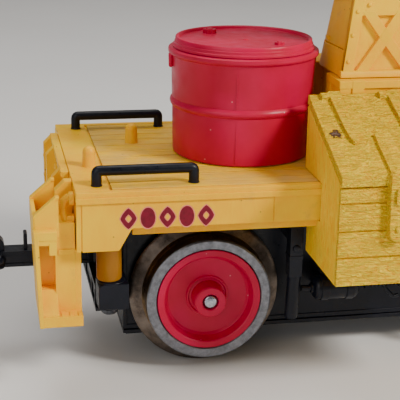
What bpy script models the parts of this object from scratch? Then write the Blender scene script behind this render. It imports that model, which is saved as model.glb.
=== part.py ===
"""Electric work car of a garden railway train set, for 45 mm gauge track.

Lengths here are millimetres in the car's own frame, turned into metres by MM.
+X runs along the car, +Z is up, and the origin is on the ground (the lowest point
of the wheel flanges) under the middle of the car. The car is built so that a half
turn about the Z axis maps its left end (-X) onto its right end (+X).
"""
import math

import bmesh
import bpy
from mathutils import Matrix, Vector

MM = 0.001
GAP = 0.3                       # room left between two pieces that touch

# driving dimensions
DECK_HALF_LENGTH = 118.0
DECK_HALF_WIDTH = 50.0
DECK_TOP = 78.5
PANEL_BOTTOM = DECK_TOP - 13.6
CORNER_PANEL_BOTTOM = DECK_TOP - 21.6
BOSS_X, BOSS_Y, BOSS_RADIUS = 105.2, 35.0, 4.6

AXLE_X = 67.0                   # half the wheelbase
FLANGE_RADIUS = 29.0
TREAD_RADIUS = 23.7
AXLE_Z = FLANGE_RADIUS
AXLE_RADIUS = 2.5
WHEEL_FACE_Y = 31.3
WHEEL_BACK_Y = 20.0             # half of the back-to-back distance
HUB_FACE_Y, DISH_FLOOR_Y = 34.2, 26.6
CENTRE_RADIUS = 20.1

GEAR_TEETH = 20
GEAR_PITCH_RADIUS = 10.0
WORM_PITCH_RADIUS = 4.0
SHAFT_Z = AXLE_Z + GEAR_PITCH_RADIUS + WORM_PITCH_RADIUS
SHAFT_RADIUS = 1.2

TUB_HALF_LENGTH, TUB_HALF_WIDTH = 98.0, 18.3
TUB_BOTTOM, TUB_TOP, TUB_WALL = 13.3, 58.0, 2.0
BOLSTER_TOP, LUG_BOTTOM, LUG_TOP = 35.5, 30.5, 41.2

DRUM_X, DRUM_RADIUS = 49.2, 27.2
DRUM_BASE, DRUM_SHELL_TOP, DRUM_TOP = DECK_TOP + GAP, DECK_TOP + 40.5, DECK_TOP + 44.0

BOX_HALF_LENGTH = 31.3
BOX_FRONT, BOX_BACK = 72.0, 29.0
BOX_BOTTOM, BOX_UNDER = DECK_TOP - 30.5, 34.2
LID_EAVE_Y, LID_EAVE_Z = 72.8, DECK_TOP + 9.0
LID_BACK_Y, LID_BACK_Z = 28.8, DECK_TOP + 27.7
LID_THICKNESS = 3.6
LID_HINGE_Y, LID_HINGE_Z = 30.4, DECK_TOP + 26.9

TOWER_BASE_TOP = DECK_TOP + 32.0
TOWER_TOP = DECK_TOP + 78.0
TOWER_FOOT = (17.0, 23.0)       # half width and front depth at the foot
TOWER_HEAD = (9.3, 15.8)        # the same at the head
PLATFORM_Z = TOWER_TOP + 3.8
PLATFORM_HALF = (36.0, 30.0)
RAILING_HEIGHT = 30.0

SWITCH_X = 36.0

COUPLER_PIVOT_X = 104.0
COUPLER_Z = (35.8, 42.2)

FINISHES = {
    "yellow_plastic": ((0.79, 0.50, 0.10), 0.45, 0.0),
    "pale_yellow_plastic": ((0.90, 0.68, 0.20), 0.45, 0.0),
    "red_plastic": ((0.55, 0.02, 0.05), 0.35, 0.0),
    "black_plastic": ((0.012, 0.013, 0.020), 0.40, 0.0),
    "wheel_steel": ((0.40, 0.36, 0.32), 0.30, 1.0),
    "plain_steel": ((0.55, 0.56, 0.60), 0.28, 1.0),
    "brass": ((0.66, 0.46, 0.18), 0.30, 1.0),
    "white_plastic": ((0.80, 0.80, 0.76), 0.40, 0.0),
    "green_board": ((0.02, 0.16, 0.06), 0.45, 0.0),
}


def clear_scene():
    for old in list(bpy.data.objects):
        bpy.data.objects.remove(old, do_unlink=True)


def finish_material(name):
    """The named finish, made once and shared."""
    known = bpy.data.materials.get(name)
    if known:
        return known
    colour, roughness, metallic = FINISHES[name]
    made = bpy.data.materials.new(name)
    made.use_nodes = True
    shader = made.node_tree.nodes["Principled BSDF"]
    shader.inputs["Base Color"].default_value = (*colour, 1.0)
    shader.inputs["Roughness"].default_value = roughness
    shader.inputs["Metallic"].default_value = metallic
    return made


# ---- solids as bmeshes, in millimetres -------------------------------------------

def prism(outline, axis, low, high):
    """An outline extruded along an axis. The outline's plane is the other two axes."""
    place = {
        "X": lambda u, v, w: (w, u, v),
        "Y": lambda u, v, w: (u, w, v),
        "Z": lambda u, v, w: (u, v, w),
    }[axis]
    bm = bmesh.new()
    ends = [[bm.verts.new(place(u, v, w)) for u, v in outline] for w in (low, high)]
    count = len(outline)
    for i in range(count):
        j = (i + 1) % count
        bm.faces.new((ends[0][i], ends[0][j], ends[1][j], ends[1][i]))
    bm.faces.new(ends[0])
    bm.faces.new(ends[1])
    return settle(bm)


def block(x, y, z):
    """A box from three (low, high) pairs."""
    return prism([(x[0], y[0]), (x[1], y[0]), (x[1], y[1]), (x[0], y[1])], "Z", *z)


def settle(bm):
    bmesh.ops.recalc_face_normals(bm, faces=bm.faces)
    return bm


def turned(profile, axis, centre, segments):
    """A closed (radius, height) outline turned about an axis through centre.

    Points of radius 0 lie on the axis. The outline closes from its last point to its
    first, so a ring never touches the axis and a solid has two points on it.
    """
    place = {
        "X": lambda r, h, a: Vector((h, r * math.cos(a), r * math.sin(a))),
        "Y": lambda r, h, a: Vector((r * math.cos(a), h, r * math.sin(a))),
        "Z": lambda r, h, a: Vector((r * math.cos(a), r * math.sin(a), h)),
    }[axis]
    bm = bmesh.new()
    rings = []
    for radius, height in profile:
        if radius == 0.0:
            rings.append([bm.verts.new(Vector(centre) + place(0.0, height, 0.0))])
            continue
        angles = (2 * math.pi * k / segments for k in range(segments))
        rings.append([bm.verts.new(Vector(centre) + place(radius, height, a)) for a in angles])
    for i, ring in enumerate(rings):
        other = rings[(i + 1) % len(rings)]
        if len(ring) == 1 and len(other) == 1:
            continue
        for k in range(segments):
            n = (k + 1) % segments
            if len(ring) == 1:
                bm.faces.new((ring[0], other[k], other[n]))
            elif len(other) == 1:
                bm.faces.new((ring[k], ring[n], other[0]))
            else:
                bm.faces.new((ring[k], ring[n], other[n], other[k]))
    return settle(bm)


def rod(axis, centre, radius, low, high, segments):
    """A plain solid cylinder."""
    return turned([(0.0, low), (radius, low), (radius, high), (0.0, high)],
                  axis, centre, segments)


def turn_about_z(bm, degrees):
    bmesh.ops.rotate(bm, verts=bm.verts, cent=(0, 0, 0),
                     matrix=Matrix.Rotation(math.radians(degrees), 3, "Z"))
    return bm


# ---- objects ---------------------------------------------------------------------

def as_mesh(name, bm, origin=(0.0, 0.0, 0.0)):
    """A mesh in metres, measured from the given origin (millimetres)."""
    bmesh.ops.translate(bm, verts=bm.verts, vec=-Vector(origin))
    bmesh.ops.scale(bm, verts=bm.verts, vec=(MM, MM, MM))
    mesh = bpy.data.meshes.new(name)
    bm.to_mesh(mesh)
    bm.free()
    return mesh


def part(name, bm, finish, origin=(0.0, 0.0, 0.0), smooth=False, parent=None):
    """One named piece. Its origin is where it turns, where it moves at all."""
    mesh = as_mesh(name, bm, origin)
    mesh.materials.append(finish_material(finish))
    if smooth:
        mesh.shade_smooth()
        mesh.set_sharp_from_angle(angle=math.radians(32))
    made = bpy.data.objects.new(name, mesh)
    bpy.context.scene.collection.objects.link(made)
    made.parent = parent
    made.location = Vector(origin) * MM
    if parent:
        made.location -= parent.location
    return made


def pivot(name, origin):
    """An empty on a joint's axis, which the moving pieces hang from."""
    made = bpy.data.objects.new(name, None)
    made.location = Vector(origin) * MM
    bpy.context.scene.collection.objects.link(made)
    return made


def world_place(made):
    place = made.location.copy()
    if made.parent:
        place += made.parent.location
    return place / MM


def shape(made, bm, operation):
    """Join or cut a piece with another solid, kept as a hidden tool."""
    count = sum(1 for m in made.modifiers if m.type == "BOOLEAN")
    name = made.name + "_tool_" + str(count + 1)
    tool = bpy.data.objects.new(name, as_mesh(name, bm, world_place(made)))
    tool.parent = made.parent
    tool.location = made.location
    tool.hide_render = True
    tool.display_type = "WIRE"
    bpy.context.scene.collection.objects.link(tool)
    modifier = made.modifiers.new(name, "BOOLEAN")
    modifier.operation = operation
    modifier.object = tool


def join(made, *solids):
    for bm in solids:
        shape(made, bm, "UNION")


def cut(made, *solids):
    for bm in solids:
        shape(made, bm, "DIFFERENCE")


# ---- deck and ends ---------------------------------------------------------------

def deck():
    half = [(DECK_HALF_WIDTH - 0.6, DECK_TOP), (DECK_HALF_WIDTH - 0.6, DECK_TOP - 1.7),
            (DECK_HALF_WIDTH, DECK_TOP - 1.7), (DECK_HALF_WIDTH, DECK_TOP - 4.0),
            (DECK_HALF_WIDTH - 0.8, DECK_TOP - 4.0), (DECK_HALF_WIDTH - 0.8, PANEL_BOTTOM),
            (DECK_HALF_WIDTH - 3.3, PANEL_BOTTOM), (DECK_HALF_WIDTH - 3.3, DECK_TOP - 3.0)]
    section = half + [(-y, z) for y, z in reversed(half)]
    shell = part("deck_shell", prism(section, "X", -DECK_HALF_LENGTH, DECK_HALF_LENGTH),
                 "yellow_plastic")
    corner = [(-DECK_HALF_LENGTH + 0.2, PANEL_BOTTOM + 4),
              (-DECK_HALF_LENGTH + 0.2, CORNER_PANEL_BOTTOM),
              (-103.2, CORNER_PANEL_BOTTOM), (-98.8, PANEL_BOTTOM - 0.7),
              (-97.0, PANEL_BOTTOM + 4)]
    outer, inner = DECK_HALF_WIDTH - 1.1, DECK_HALF_WIDTH - 3.0
    for angle in (0, 180):
        join(shell, turn_about_z(block((-DECK_HALF_LENGTH + 0.5, -DECK_HALF_LENGTH + 2.5),
                                       (-inner - 1, inner + 1),
                                       (CORNER_PANEL_BOTTOM + 0.4, DECK_TOP - 2)), angle))
        for low, high in ((-outer, -inner), (inner, outer)):
            join(shell, turn_about_z(prism(corner, "Y", low, high), angle))
        for side in (-1, 1):
            boss = [(0.0, DECK_TOP - 2), (BOSS_RADIUS, DECK_TOP - 2),
                    (BOSS_RADIUS, LUG_TOP + GAP), (1.9, LUG_TOP + GAP),
                    (1.9, LUG_TOP + 14), (0.0, LUG_TOP + 14)]
            join(shell, turn_about_z(turned(boss, "Z", (-BOSS_X, side * BOSS_Y, 0), 12), angle))
        for x, y in ((-110.1, -15.6), (-90.1, 16.5)):
            peg = [(0.0, DECK_TOP - 1), (2.4, DECK_TOP - 1), (2.4, DECK_TOP + 5.6),
                   (1.8, DECK_TOP + 7.0), (0.0, DECK_TOP + 7.6)]
            join(shell, turn_about_z(turned(peg, "Z", (x, y, 0), 8), angle))
    return shell


def end_beam(name, angle):
    """The ribbed headstock across one end of the deck."""
    outside = -DECK_HALF_LENGTH - GAP
    rib = [(outside - 1.0, DECK_TOP), (outside - 2.4, DECK_TOP), (outside - 5.6, DECK_TOP - 3.3),
           (outside - 5.6, 48.0), (outside - 1.0, 48.0)]
    beam = part(name, turn_about_z(block((outside - 2.0, outside), (-21.4, 36.0),
                                         (48.0, DECK_TOP - 0.3)), angle), "yellow_plastic")
    for y in (-15.7, 15.7, 32.4):
        join(beam, turn_about_z(prism(rib, "Y", y - 2.0, y + 2.0), angle))
    return beam


def corner_step(name, angle):
    """The footstep with its guard plate, at one corner of one end."""
    outside = -DECK_HALF_LENGTH - GAP
    near, far, web = -50.0, -22.0, -44.6
    top, shelf, foot = DECK_TOP - 8.9, DECK_TOP - 13.4, DECK_TOP - 49.0
    plate = outside - 14.3
    step = part(name, turn_about_z(block((plate, plate + 1.5), (near, far), (foot, shelf)), angle),
                "yellow_plastic")
    skin = plate + 0.5          # where the inner pieces start, inside the guard plate
    gusset = [(skin, shelf - 3), (skin, top - 0.2), (outside - 6.4, DECK_TOP - 2.4),
              (outside - 5.4, DECK_TOP - 2.4), (outside - 5.4, shelf - 3)]
    rib = [(outside - 0.2, DECK_TOP), (outside - 2.4, DECK_TOP), (outside - 5.8, DECK_TOP - 3.4),
           (outside - 5.8, 60.0), (outside - 0.2, 60.0)]
    slope = [(near + 0.6, foot + 3.5), (web + 0.7, foot + 12.5), (-38.4, foot + 12.5),
             (-38.4, foot + 3.5)]
    solids = [
        block((plate + 0.1, plate + 1.6), (web - 1.3, far - 0.1), (shelf - 2, top)),
        prism(gusset, "Y", far - 1.9, far - 0.2),
        prism(gusset, "Y", web - 1.5, web + 0.2),
        prism(rib, "Y", -34.4, -30.4),
        block((skin, outside - 6.3), (near + 0.1, far - 0.3), (shelf - 4.6, shelf + 0.1)),
        block((outside - 9.1, outside - 6.5), (near + 0.2, web + 1), (shelf - 7.5, shelf - 4)),
        block((outside - 6.8, outside), (web - 0.1, far - 0.4), (foot + 0.2, DECK_TOP - 12.0)),
        block((outside - 1.0, -116.0), (web + 0.1, far - 0.5),
              (foot + 0.3, CORNER_PANEL_BOTTOM - GAP)),
        block((plate + 0.7, outside - 6.0), (-40.0, -38.0), (foot + 1, shelf - 1)),
        block((plate + 0.9, -116.1), (near + 0.3, far - 0.6), (foot + 0.1, foot + 4.0)),
        prism(slope, "X", plate + 1.0, outside - 6.2),
    ]
    for bm in solids:
        join(step, turn_about_z(bm, angle))
    return step


def handrail(name, x_low, x_high, y):
    """A low grab rail: one bent rod with rounded corners."""
    top, foot, bend = DECK_TOP + 5.4, DECK_TOP + GAP, 2.6
    curve = bpy.data.curves.new(name, "CURVE")
    curve.dimensions = "3D"
    curve.bevel_depth = 1.7 * MM
    curve.bevel_resolution = 2
    curve.use_fill_caps = True
    steps = 3
    arc = [math.pi / 2 * k / steps for k in range(steps + 1)]
    route = [(x_low, foot)]
    route += [(x_low + bend * (1 - math.cos(a)), top - bend * (1 - math.sin(a))) for a in arc]
    route += [(x_high - bend * (1 - math.sin(a)), top - bend * (1 - math.cos(a))) for a in arc]
    route += [(x_high, foot)]
    spline = curve.splines.new("POLY")
    spline.points.add(len(route) - 1)
    for point, (x, z) in zip(spline.points, route):
        point.co = (x * MM, y * MM, z * MM, 1.0)
    curve.materials.append(finish_material("black_plastic"))
    bpy.context.scene.collection.objects.link(bpy.data.objects.new(name, curve))


# ---- load on the deck ------------------------------------------------------------

def drum(side, x):
    """A hooped oil drum and its lid with two bungs."""
    hoop, waist = DECK_TOP + 20.0, DECK_TOP + 39.5
    outline = [(DRUM_RADIUS - 0.7, DRUM_BASE), (DRUM_RADIUS - 0.2, hoop - 1.2),
               (DRUM_RADIUS + 0.7, hoop), (DRUM_RADIUS, hoop + 1.2),
               (DRUM_RADIUS + 0.3, waist - 2.0), (DRUM_RADIUS + 1.5, waist - 0.8),
               (DRUM_RADIUS + 1.3, DRUM_SHELL_TOP), (DRUM_RADIUS - 2.6, DRUM_SHELL_TOP),
               (DRUM_RADIUS - 2.8, DRUM_BASE + 2.0), (0.0, DRUM_BASE + 2.0), (0.0, DRUM_BASE)]
    part("drum_" + side + "_body", turned(outline, "Z", (x, 0, 0), 28), "red_plastic",
         smooth=True)
    rim, seat = DRUM_RADIUS - 1.3, DRUM_SHELL_TOP + GAP
    cap = [(0.0, seat - 2.0), (DRUM_RADIUS - 3.2, seat - 2.0), (DRUM_RADIUS - 3.2, seat),
           (rim, seat), (rim, DRUM_TOP - 0.4), (rim - 0.4, DRUM_TOP), (rim - 1.8, DRUM_TOP),
           (rim - 2.2, DRUM_TOP - 1.2), (0.0, DRUM_TOP - 1.2)]
    lid = part("drum_" + side + "_lid", turned(cap, "Z", (x, 0, 0), 28), "red_plastic",
               smooth=True)
    facing = 1 if x < 0 else -1
    for dx, dy, radius in ((-9.0, 12.0, 3.2), (9.0, -13.0, 2.2)):
        centre = (x + facing * dx, facing * dy, 0)
        join(lid, rod("Z", centre, radius, DRUM_TOP - 2.0, DRUM_TOP - 0.2, 8))


def lid_top(y):
    """Height of the sloped lid's top above the point at distance y from the centreline."""
    slope = (LID_BACK_Z - LID_EAVE_Z) / (LID_EAVE_Y - LID_BACK_Y)
    return LID_EAVE_Z + slope * (LID_EAVE_Y - y)


def tool_box(side, angle):
    """A plank tool box that grips the deck's edge, with a sloped lid on a hinge."""
    rim = -LID_THICKNESS - GAP
    out = DECK_HALF_WIDTH + 0.4
    section = [(-BOX_FRONT, BOX_BOTTOM), (-BOX_UNDER, BOX_BOTTOM),
               (-BOX_UNDER, PANEL_BOTTOM - GAP), (-out, PANEL_BOTTOM - GAP),
               (-out, DECK_TOP + GAP), (-BOX_BACK, DECK_TOP + GAP),
               (-BOX_BACK, lid_top(BOX_BACK) + rim), (-BOX_FRONT, lid_top(BOX_FRONT) + rim)]
    wall = 2.0
    room = [(-BOX_FRONT + wall, BOX_BOTTOM + wall), (-BOX_UNDER - wall, BOX_BOTTOM + wall),
            (-BOX_UNDER - wall, PANEL_BOTTOM - GAP - wall), (-out - wall, PANEL_BOTTOM - GAP - wall),
            (-out - wall, DECK_TOP + GAP + wall), (-BOX_BACK - wall, DECK_TOP + GAP + wall),
            (-BOX_BACK - wall, LID_BACK_Z + 5), (-BOX_FRONT + wall, LID_BACK_Z + 5)]
    body = part("toolbox_" + side + "_body",
                turn_about_z(prism(section, "X", -BOX_HALF_LENGTH, BOX_HALF_LENGTH), angle),
                "pale_yellow_plastic")
    cut(body, turn_about_z(prism(room, "X", -BOX_HALF_LENGTH + wall, BOX_HALF_LENGTH - wall),
                           angle))

    side_sign = 1 if angle else -1
    origin = (0, side_sign * LID_HINGE_Y, LID_HINGE_Z)
    leaf = [(-LID_EAVE_Y, lid_top(LID_EAVE_Y) - LID_THICKNESS), (-LID_EAVE_Y, LID_EAVE_Z),
            (-LID_BACK_Y, LID_BACK_Z), (-LID_BACK_Y, LID_BACK_Z - LID_THICKNESS)]
    lid = part("toolbox_" + side + "_lid",
               turn_about_z(prism(leaf, "X", -BOX_HALF_LENGTH - GAP, BOX_HALF_LENGTH + GAP),
                            angle), "pale_yellow_plastic", origin=origin)
    strap = [(-57.0, lid_top(57.0) - 1), (-57.0, lid_top(57.0) + 0.9),
             (-LID_BACK_Y - 0.3, lid_top(LID_BACK_Y) + 0.9),
             (-LID_BACK_Y - 0.3, lid_top(LID_BACK_Y) - 1)]
    for x in (-22.0, 0.0, 22.0):
        join(lid, turn_about_z(prism(strap, "X", x - 1.9, x + 1.9), angle))
    hasp = [(-52.5, lid_top(52.5) - 1), (-52.5, lid_top(52.5) + 0.8),
            (-LID_EAVE_Y - 1.3, LID_EAVE_Z + 0.6), (-LID_EAVE_Y - 1.3, DECK_TOP - 15.0),
            (-LID_EAVE_Y + 0.3, DECK_TOP - 15.0), (-LID_EAVE_Y + 0.3, LID_EAVE_Z - 1.5)]
    for x in (-11.0, 11.0):
        join(lid, turn_about_z(prism(hasp, "X", x - 2.7, x + 2.7), angle))


# ---- tower and platform ----------------------------------------------------------

def tower_outline(height, inset):
    """The tower's plan at one height: flat in front, round at the back."""
    share = (height - TOWER_BASE_TOP) / (TOWER_TOP - TOWER_BASE_TOP)
    half = TOWER_FOOT[0] + share * (TOWER_HEAD[0] - TOWER_FOOT[0]) - inset
    bulge = half + 1.2
    front = TOWER_FOOT[1] + share * (TOWER_HEAD[1] - TOWER_FOOT[1]) - inset
    steps = 10
    arc = [math.pi * k / steps for k in range(steps + 1)]
    return [(-half, -front), (half, -front)] + [(bulge * math.cos(a), bulge * math.sin(a))
                                                for a in arc]


def tower():
    bench = part("tower_base", block((-19.3, 19.3), (-28.0, -11.0), (DECK_TOP + GAP,
                                     TOWER_BASE_TOP)), "yellow_plastic")
    join(bench, block((-19.3, 19.3), (11.0, 28.0), (DECK_TOP + GAP, TOWER_BASE_TOP)),
         block((-14.0, 14.0), (-12.0, 12.0), (DECK_TOP + GAP, TOWER_BASE_TOP)))

    foot, wall = TOWER_BASE_TOP + GAP, 2.0
    bm = bmesh.new()
    loops = []
    for height, inset in ((foot, 0.0), (TOWER_TOP, 0.0), (TOWER_TOP, wall), (foot, wall)):
        loops.append([bm.verts.new((x, y, height)) for x, y in tower_outline(height, inset)])
    count = len(loops[0])
    for i in range(4):
        lower, upper = loops[i], loops[(i + 1) % 4]
        for k in range(count):
            n = (k + 1) % count
            bm.faces.new((lower[k], lower[n], upper[n], upper[k]))
    part("tower_shell", settle(bm), "yellow_plastic", smooth=True)

    seat = TOWER_TOP + GAP
    part("swivel_ring", turned([(3.0, seat), (13.0, seat), (13.0, PLATFORM_Z - GAP),
                                (3.0, PLATFORM_Z - GAP)], "Z", (0, 0, 0), 16),
         "black_plastic", smooth=True)
    bolt = [(0.0, TOWER_TOP - 3.0), (5.0, TOWER_TOP - 3.0), (5.0, TOWER_TOP - GAP),
            (2.5, TOWER_TOP - GAP), (2.5, PLATFORM_Z + 4.6), (0.0, PLATFORM_Z + 4.6)]
    part("swivel_pin", turned(bolt, "Z", (0, 0, 0), 12), "plain_steel", smooth=True)

    axis = pivot("platform_pivot", (0, 0, PLATFORM_Z))
    wide, deep = PLATFORM_HALF
    floor = part("work_platform", block((-wide, wide), (-deep, deep),
                                        (PLATFORM_Z, PLATFORM_Z + 3.0)),
                 "yellow_plastic", origin=(0, 0, PLATFORM_Z), parent=axis)
    cut(floor, rod("Z", (0, 0, 0), 2.9, PLATFORM_Z - 2, PLATFORM_Z + 6, 12))
    railing(axis, PLATFORM_Z + 3.0 + GAP)


def railing(axis, foot):
    """Ten posts under a hand rail, and a middle rail that runs round inside them."""
    bar = 1.2
    wide, deep = PLATFORM_HALF[0] - 1.5, PLATFORM_HALF[1] - 1.5
    top = foot + RAILING_HEIGHT
    middle = foot + RAILING_HEIGHT / 2

    def ring(name, outward, inward, low, high):
        frame = block((-wide - outward, wide + outward), (-deep - outward, deep + outward),
                      (low, high))
        made = part(name, frame, "black_plastic", origin=(0, 0, PLATFORM_Z), parent=axis)
        cut(made, block((-wide + inward, wide - inward), (-deep + inward, deep - inward),
                        (low - 5, high + 5)))
        return made

    rail = ring("platform_railing", bar, bar, top - 2.4, top)
    posts = [(x * wide, y * deep) for x in (-1.0, -1 / 3, 1 / 3, 1.0) for y in (-1.0, 1.0)]
    posts += [(-wide, 0.0), (wide, 0.0)]
    for x, y in posts:
        join(rail, block((x - bar * 0.9, x + bar * 0.9), (y - bar * 0.9, y + bar * 0.9),
                         (foot, top - 1.0)))
    ring("platform_middle_rail", -bar - GAP, 3 * bar, middle - 1.0, middle + 1.0)


# ---- underframe ------------------------------------------------------------------

def chassis():
    """The gearbox tub, the two bolsters at its ends and its bottom cover."""
    tub = part("chassis_frame", block((-TUB_HALF_LENGTH, TUB_HALF_LENGTH),
                                      (-TUB_HALF_WIDTH, TUB_HALF_WIDTH),
                                      (TUB_BOTTOM, TUB_TOP)), "black_plastic")
    cut(tub, block((-TUB_HALF_LENGTH + TUB_WALL, TUB_HALF_LENGTH - TUB_WALL),
                   (-TUB_HALF_WIDTH + TUB_WALL, TUB_HALF_WIDTH - TUB_WALL),
                   (TUB_BOTTOM - 5, TUB_TOP - TUB_WALL)))
    for side, angle in (("left", 0), ("right", 180)):
        cut(tub, turn_about_z(rod("Y", (-AXLE_X, 0, AXLE_Z), AXLE_RADIUS + GAP, -30, 30, 16),
                              angle))
        bolster = part("bolster_" + side,
                       turn_about_z(block((-109.6, -TUB_HALF_LENGTH - GAP), (-29.0, 29.0),
                                          (26.0, BOLSTER_TOP)), angle), "black_plastic")
        for low, high in ((-40.0, -28.0), (28.0, 40.0)):
            join(bolster, turn_about_z(block((-109.8, -TUB_HALF_LENGTH - 0.5), (low, high),
                                             (LUG_BOTTOM, LUG_TOP)), angle))
        for x, y, radius in ((-BOSS_X, -BOSS_Y, 1.9), (-BOSS_X, BOSS_Y, 1.9),
                             (-COUPLER_PIVOT_X, 0, 2.3)):
            cut(bolster, turn_about_z(rod("Z", (x, y, 0), radius, 20, LUG_TOP + 4, 12),
                                      angle))

    cover = part("bottom_cover", block((-TUB_HALF_LENGTH, TUB_HALF_LENGTH),
                                       (-TUB_HALF_WIDTH, TUB_HALF_WIDTH),
                                       (TUB_BOTTOM - 2.3, TUB_BOTTOM - GAP)), "black_plastic")
    cut(cover, block((SWITCH_X - 5.2, SWITCH_X + 5.2), (-2.9, 2.9), (10, 20)))
    slider = part("power_switch", block((SWITCH_X - 3.0, SWITCH_X + 3.0), (-2.6, 2.6),
                                        (TUB_BOTTOM - 2.0, TUB_BOTTOM + 0.8)),
                  "white_plastic", origin=(SWITCH_X, 0, TUB_BOTTOM))
    join(slider, block((SWITCH_X - 8.5, SWITCH_X + 8.5), (-5.0, 5.0),
                       (TUB_BOTTOM, TUB_BOTTOM + 1.5)))


def brake_hanger(name, x_sign, y_sign):
    """A bracket on the side of the tub with the brake shoe that hangs from it."""
    arm = block((-36.6, -32.4), (TUB_HALF_WIDTH + GAP, 30.0), (50.0, 56.0))
    post = block((-37.0, -32.0), (28.0, 33.6), (34.0, 57.2))
    shoe = prism([(-36.4, 39.0), (-31.9, 39.0), (-32.6, 19.5), (-37.2, 19.5)], "Y", 27.2, 34.2)
    for bm in (arm, post, shoe):
        bmesh.ops.scale(bm, verts=bm.verts, vec=(-x_sign, y_sign, 1))
        settle(bm)
    join(part(name, post, "black_plastic"), arm, shoe)


def chassis_screws():
    """Four screws that hold the chassis up against the deck's bosses."""
    for number, (sx, sy) in enumerate(((-1, -1), (-1, 1), (1, -1), (1, 1)), 1):
        low, shaft_top = LUG_BOTTOM - GAP, LUG_TOP + 11.0
        screw = [(0.0, low - 2.1), (3.2, low - 2.1), (3.4, low), (1.55, low),
                 (1.55, shaft_top), (0.0, shaft_top + 1.0)]
        part("chassis_screw_" + str(number),
             turned(screw, "Z", (sx * BOSS_X, sy * BOSS_Y, 0), 8), "plain_steel", smooth=True)


def air_tank(name, angle):
    """A brake cylinder with a push rod, on two brackets beside the chassis."""
    radius, low, high = 4.7, -27.0, -8.5
    outline = [(0.0, low - 4.4), (1.2, low - 4.4), (1.2, low), (3.4, low + 0.2),
               (radius, low + 1.6), (radius, high - 2.0), (3.4, high - 0.6), (0.0, high)]
    bm = turned(outline, "X", (0, -30.0, 31.0), 16)
    tank = part(name, turn_about_z(bm, angle), "black_plastic", smooth=True)
    for x in (-24.0, -14.0):
        join(tank, turn_about_z(block((x, x + 3.0), (-27.0, -TUB_HALF_WIDTH - GAP), (28.5, 33.5)),
                                angle))


def coupler(name, angle):
    """A drawbar on its pin, with a loop and a hook at the head."""
    low, high = COUPLER_Z
    pin_x = -COUPLER_PIVOT_X
    spin = Matrix.Rotation(math.radians(angle), 3, "Z")
    origin = tuple(spin @ Vector((pin_x, 0, low)))
    bar = part(name, turn_about_z(block((-143.0, pin_x - 3.0), (-4.0, 4.0), (low, high)), angle),
               "black_plastic", origin=origin)
    eye = rod("Z", (pin_x, 0, 0), 5.5, low + 0.1, high - 0.1, 12)
    loop = [(-141.0, -9.0), (-141.0, 9.0), (-145.0, 13.0), (-151.0, 13.0), (-154.5, 8.0),
            (-154.5, -8.0), (-151.0, -13.0), (-145.0, -13.0)]
    window = [(-144.0, -7.5), (-144.0, 7.5), (-146.5, 10.0), (-150.0, 10.0), (-152.0, 7.0),
              (-152.0, -7.0), (-150.0, -10.0), (-146.5, -10.0)]
    hook = [(-143.2, low + 1), (-143.2, high + 6.5), (-140.5, high + 6.5), (-136.0, high - 1),
            (-136.0, low + 1)]
    join(bar, turn_about_z(eye, angle), turn_about_z(prism(hook, "Y", -2.5, 2.5), angle),
         turn_about_z(prism(loop, "Z", low + 1.2, high - 1.8), angle))
    cut(bar, turn_about_z(prism(window, "Z", low - 3, high + 3), angle),
        turn_about_z(rod("Z", (pin_x, 0, 0), 2.4, low - 3, high + 3, 8), angle))

    pin = [(0.0, 27.0), (2.0, 27.0), (2.0, high + GAP), (4.2, high + GAP), (4.2, high + 2.0),
           (0.0, high + 2.4)]
    part(name + "_pin", turn_about_z(turned(pin, "Z", (pin_x, 0, 0), 12), angle), "plain_steel",
         smooth=True)


# ---- drive -----------------------------------------------------------------------

def worm_gear_blank(x):
    """A 20-tooth gear whose teeth lean with the worm's thread."""
    root, tip = GEAR_PITCH_RADIUS - 1.4, GEAR_PITCH_RADIUS + 0.9
    half_width = 3.0
    lean = 0.5 / WORM_PITCH_RADIUS / GEAR_PITCH_RADIUS * half_width
    pitch_angle = 2 * math.pi / GEAR_TEETH
    bm = bmesh.new()
    loops = []
    for side in (-1, 1):
        loop = []
        for tooth in range(GEAR_TEETH):
            middle = (tooth + 0.5) * pitch_angle + side * lean
            for radius, offset in ((root, -0.098), (tip, -0.036), (tip, 0.036), (root, 0.098)):
                angle = middle + offset
                loop.append(bm.verts.new((x + radius * math.sin(angle), side * half_width,
                                          AXLE_Z + radius * math.cos(angle))))
        loops.append(loop)
    count = len(loops[0])
    for k in range(count):
        n = (k + 1) % count
        bm.faces.new((loops[0][k], loops[0][n], loops[1][n], loops[1][k]))
    bm.faces.new(loops[0])
    bm.faces.new(loops[1])
    return settle(bm)


def worm_thread(x, turns, steps):
    """One right-handed thread, whose crest faces the gear at x."""
    pitch = 2 * math.pi * GEAR_PITCH_RADIUS / GEAR_TEETH
    inner, crest = 2.4, WORM_PITCH_RADIUS + 0.8
    bm = bmesh.new()
    count = int(turns * steps)
    rings = []
    for k in range(count + 1):
        turn = (k - count // 2) / steps
        angle = 2 * math.pi * turn
        middle = x + pitch * turn
        across, down = math.sin(angle), -math.cos(angle)
        ring = []
        for radius, offset in ((inner, -0.72), (crest, -0.32), (crest, 0.32), (inner, 0.72)):
            ring.append(bm.verts.new((middle + offset, radius * across, SHAFT_Z + radius * down)))
        rings.append(ring)
    for lower, upper in zip(rings, rings[1:]):
        for k in range(4):
            n = (k + 1) % 4
            bm.faces.new((lower[k], lower[n], upper[n], upper[k]))
    bm.faces.new(rings[0])
    bm.faces.new(rings[-1])
    return settle(bm)


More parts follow.
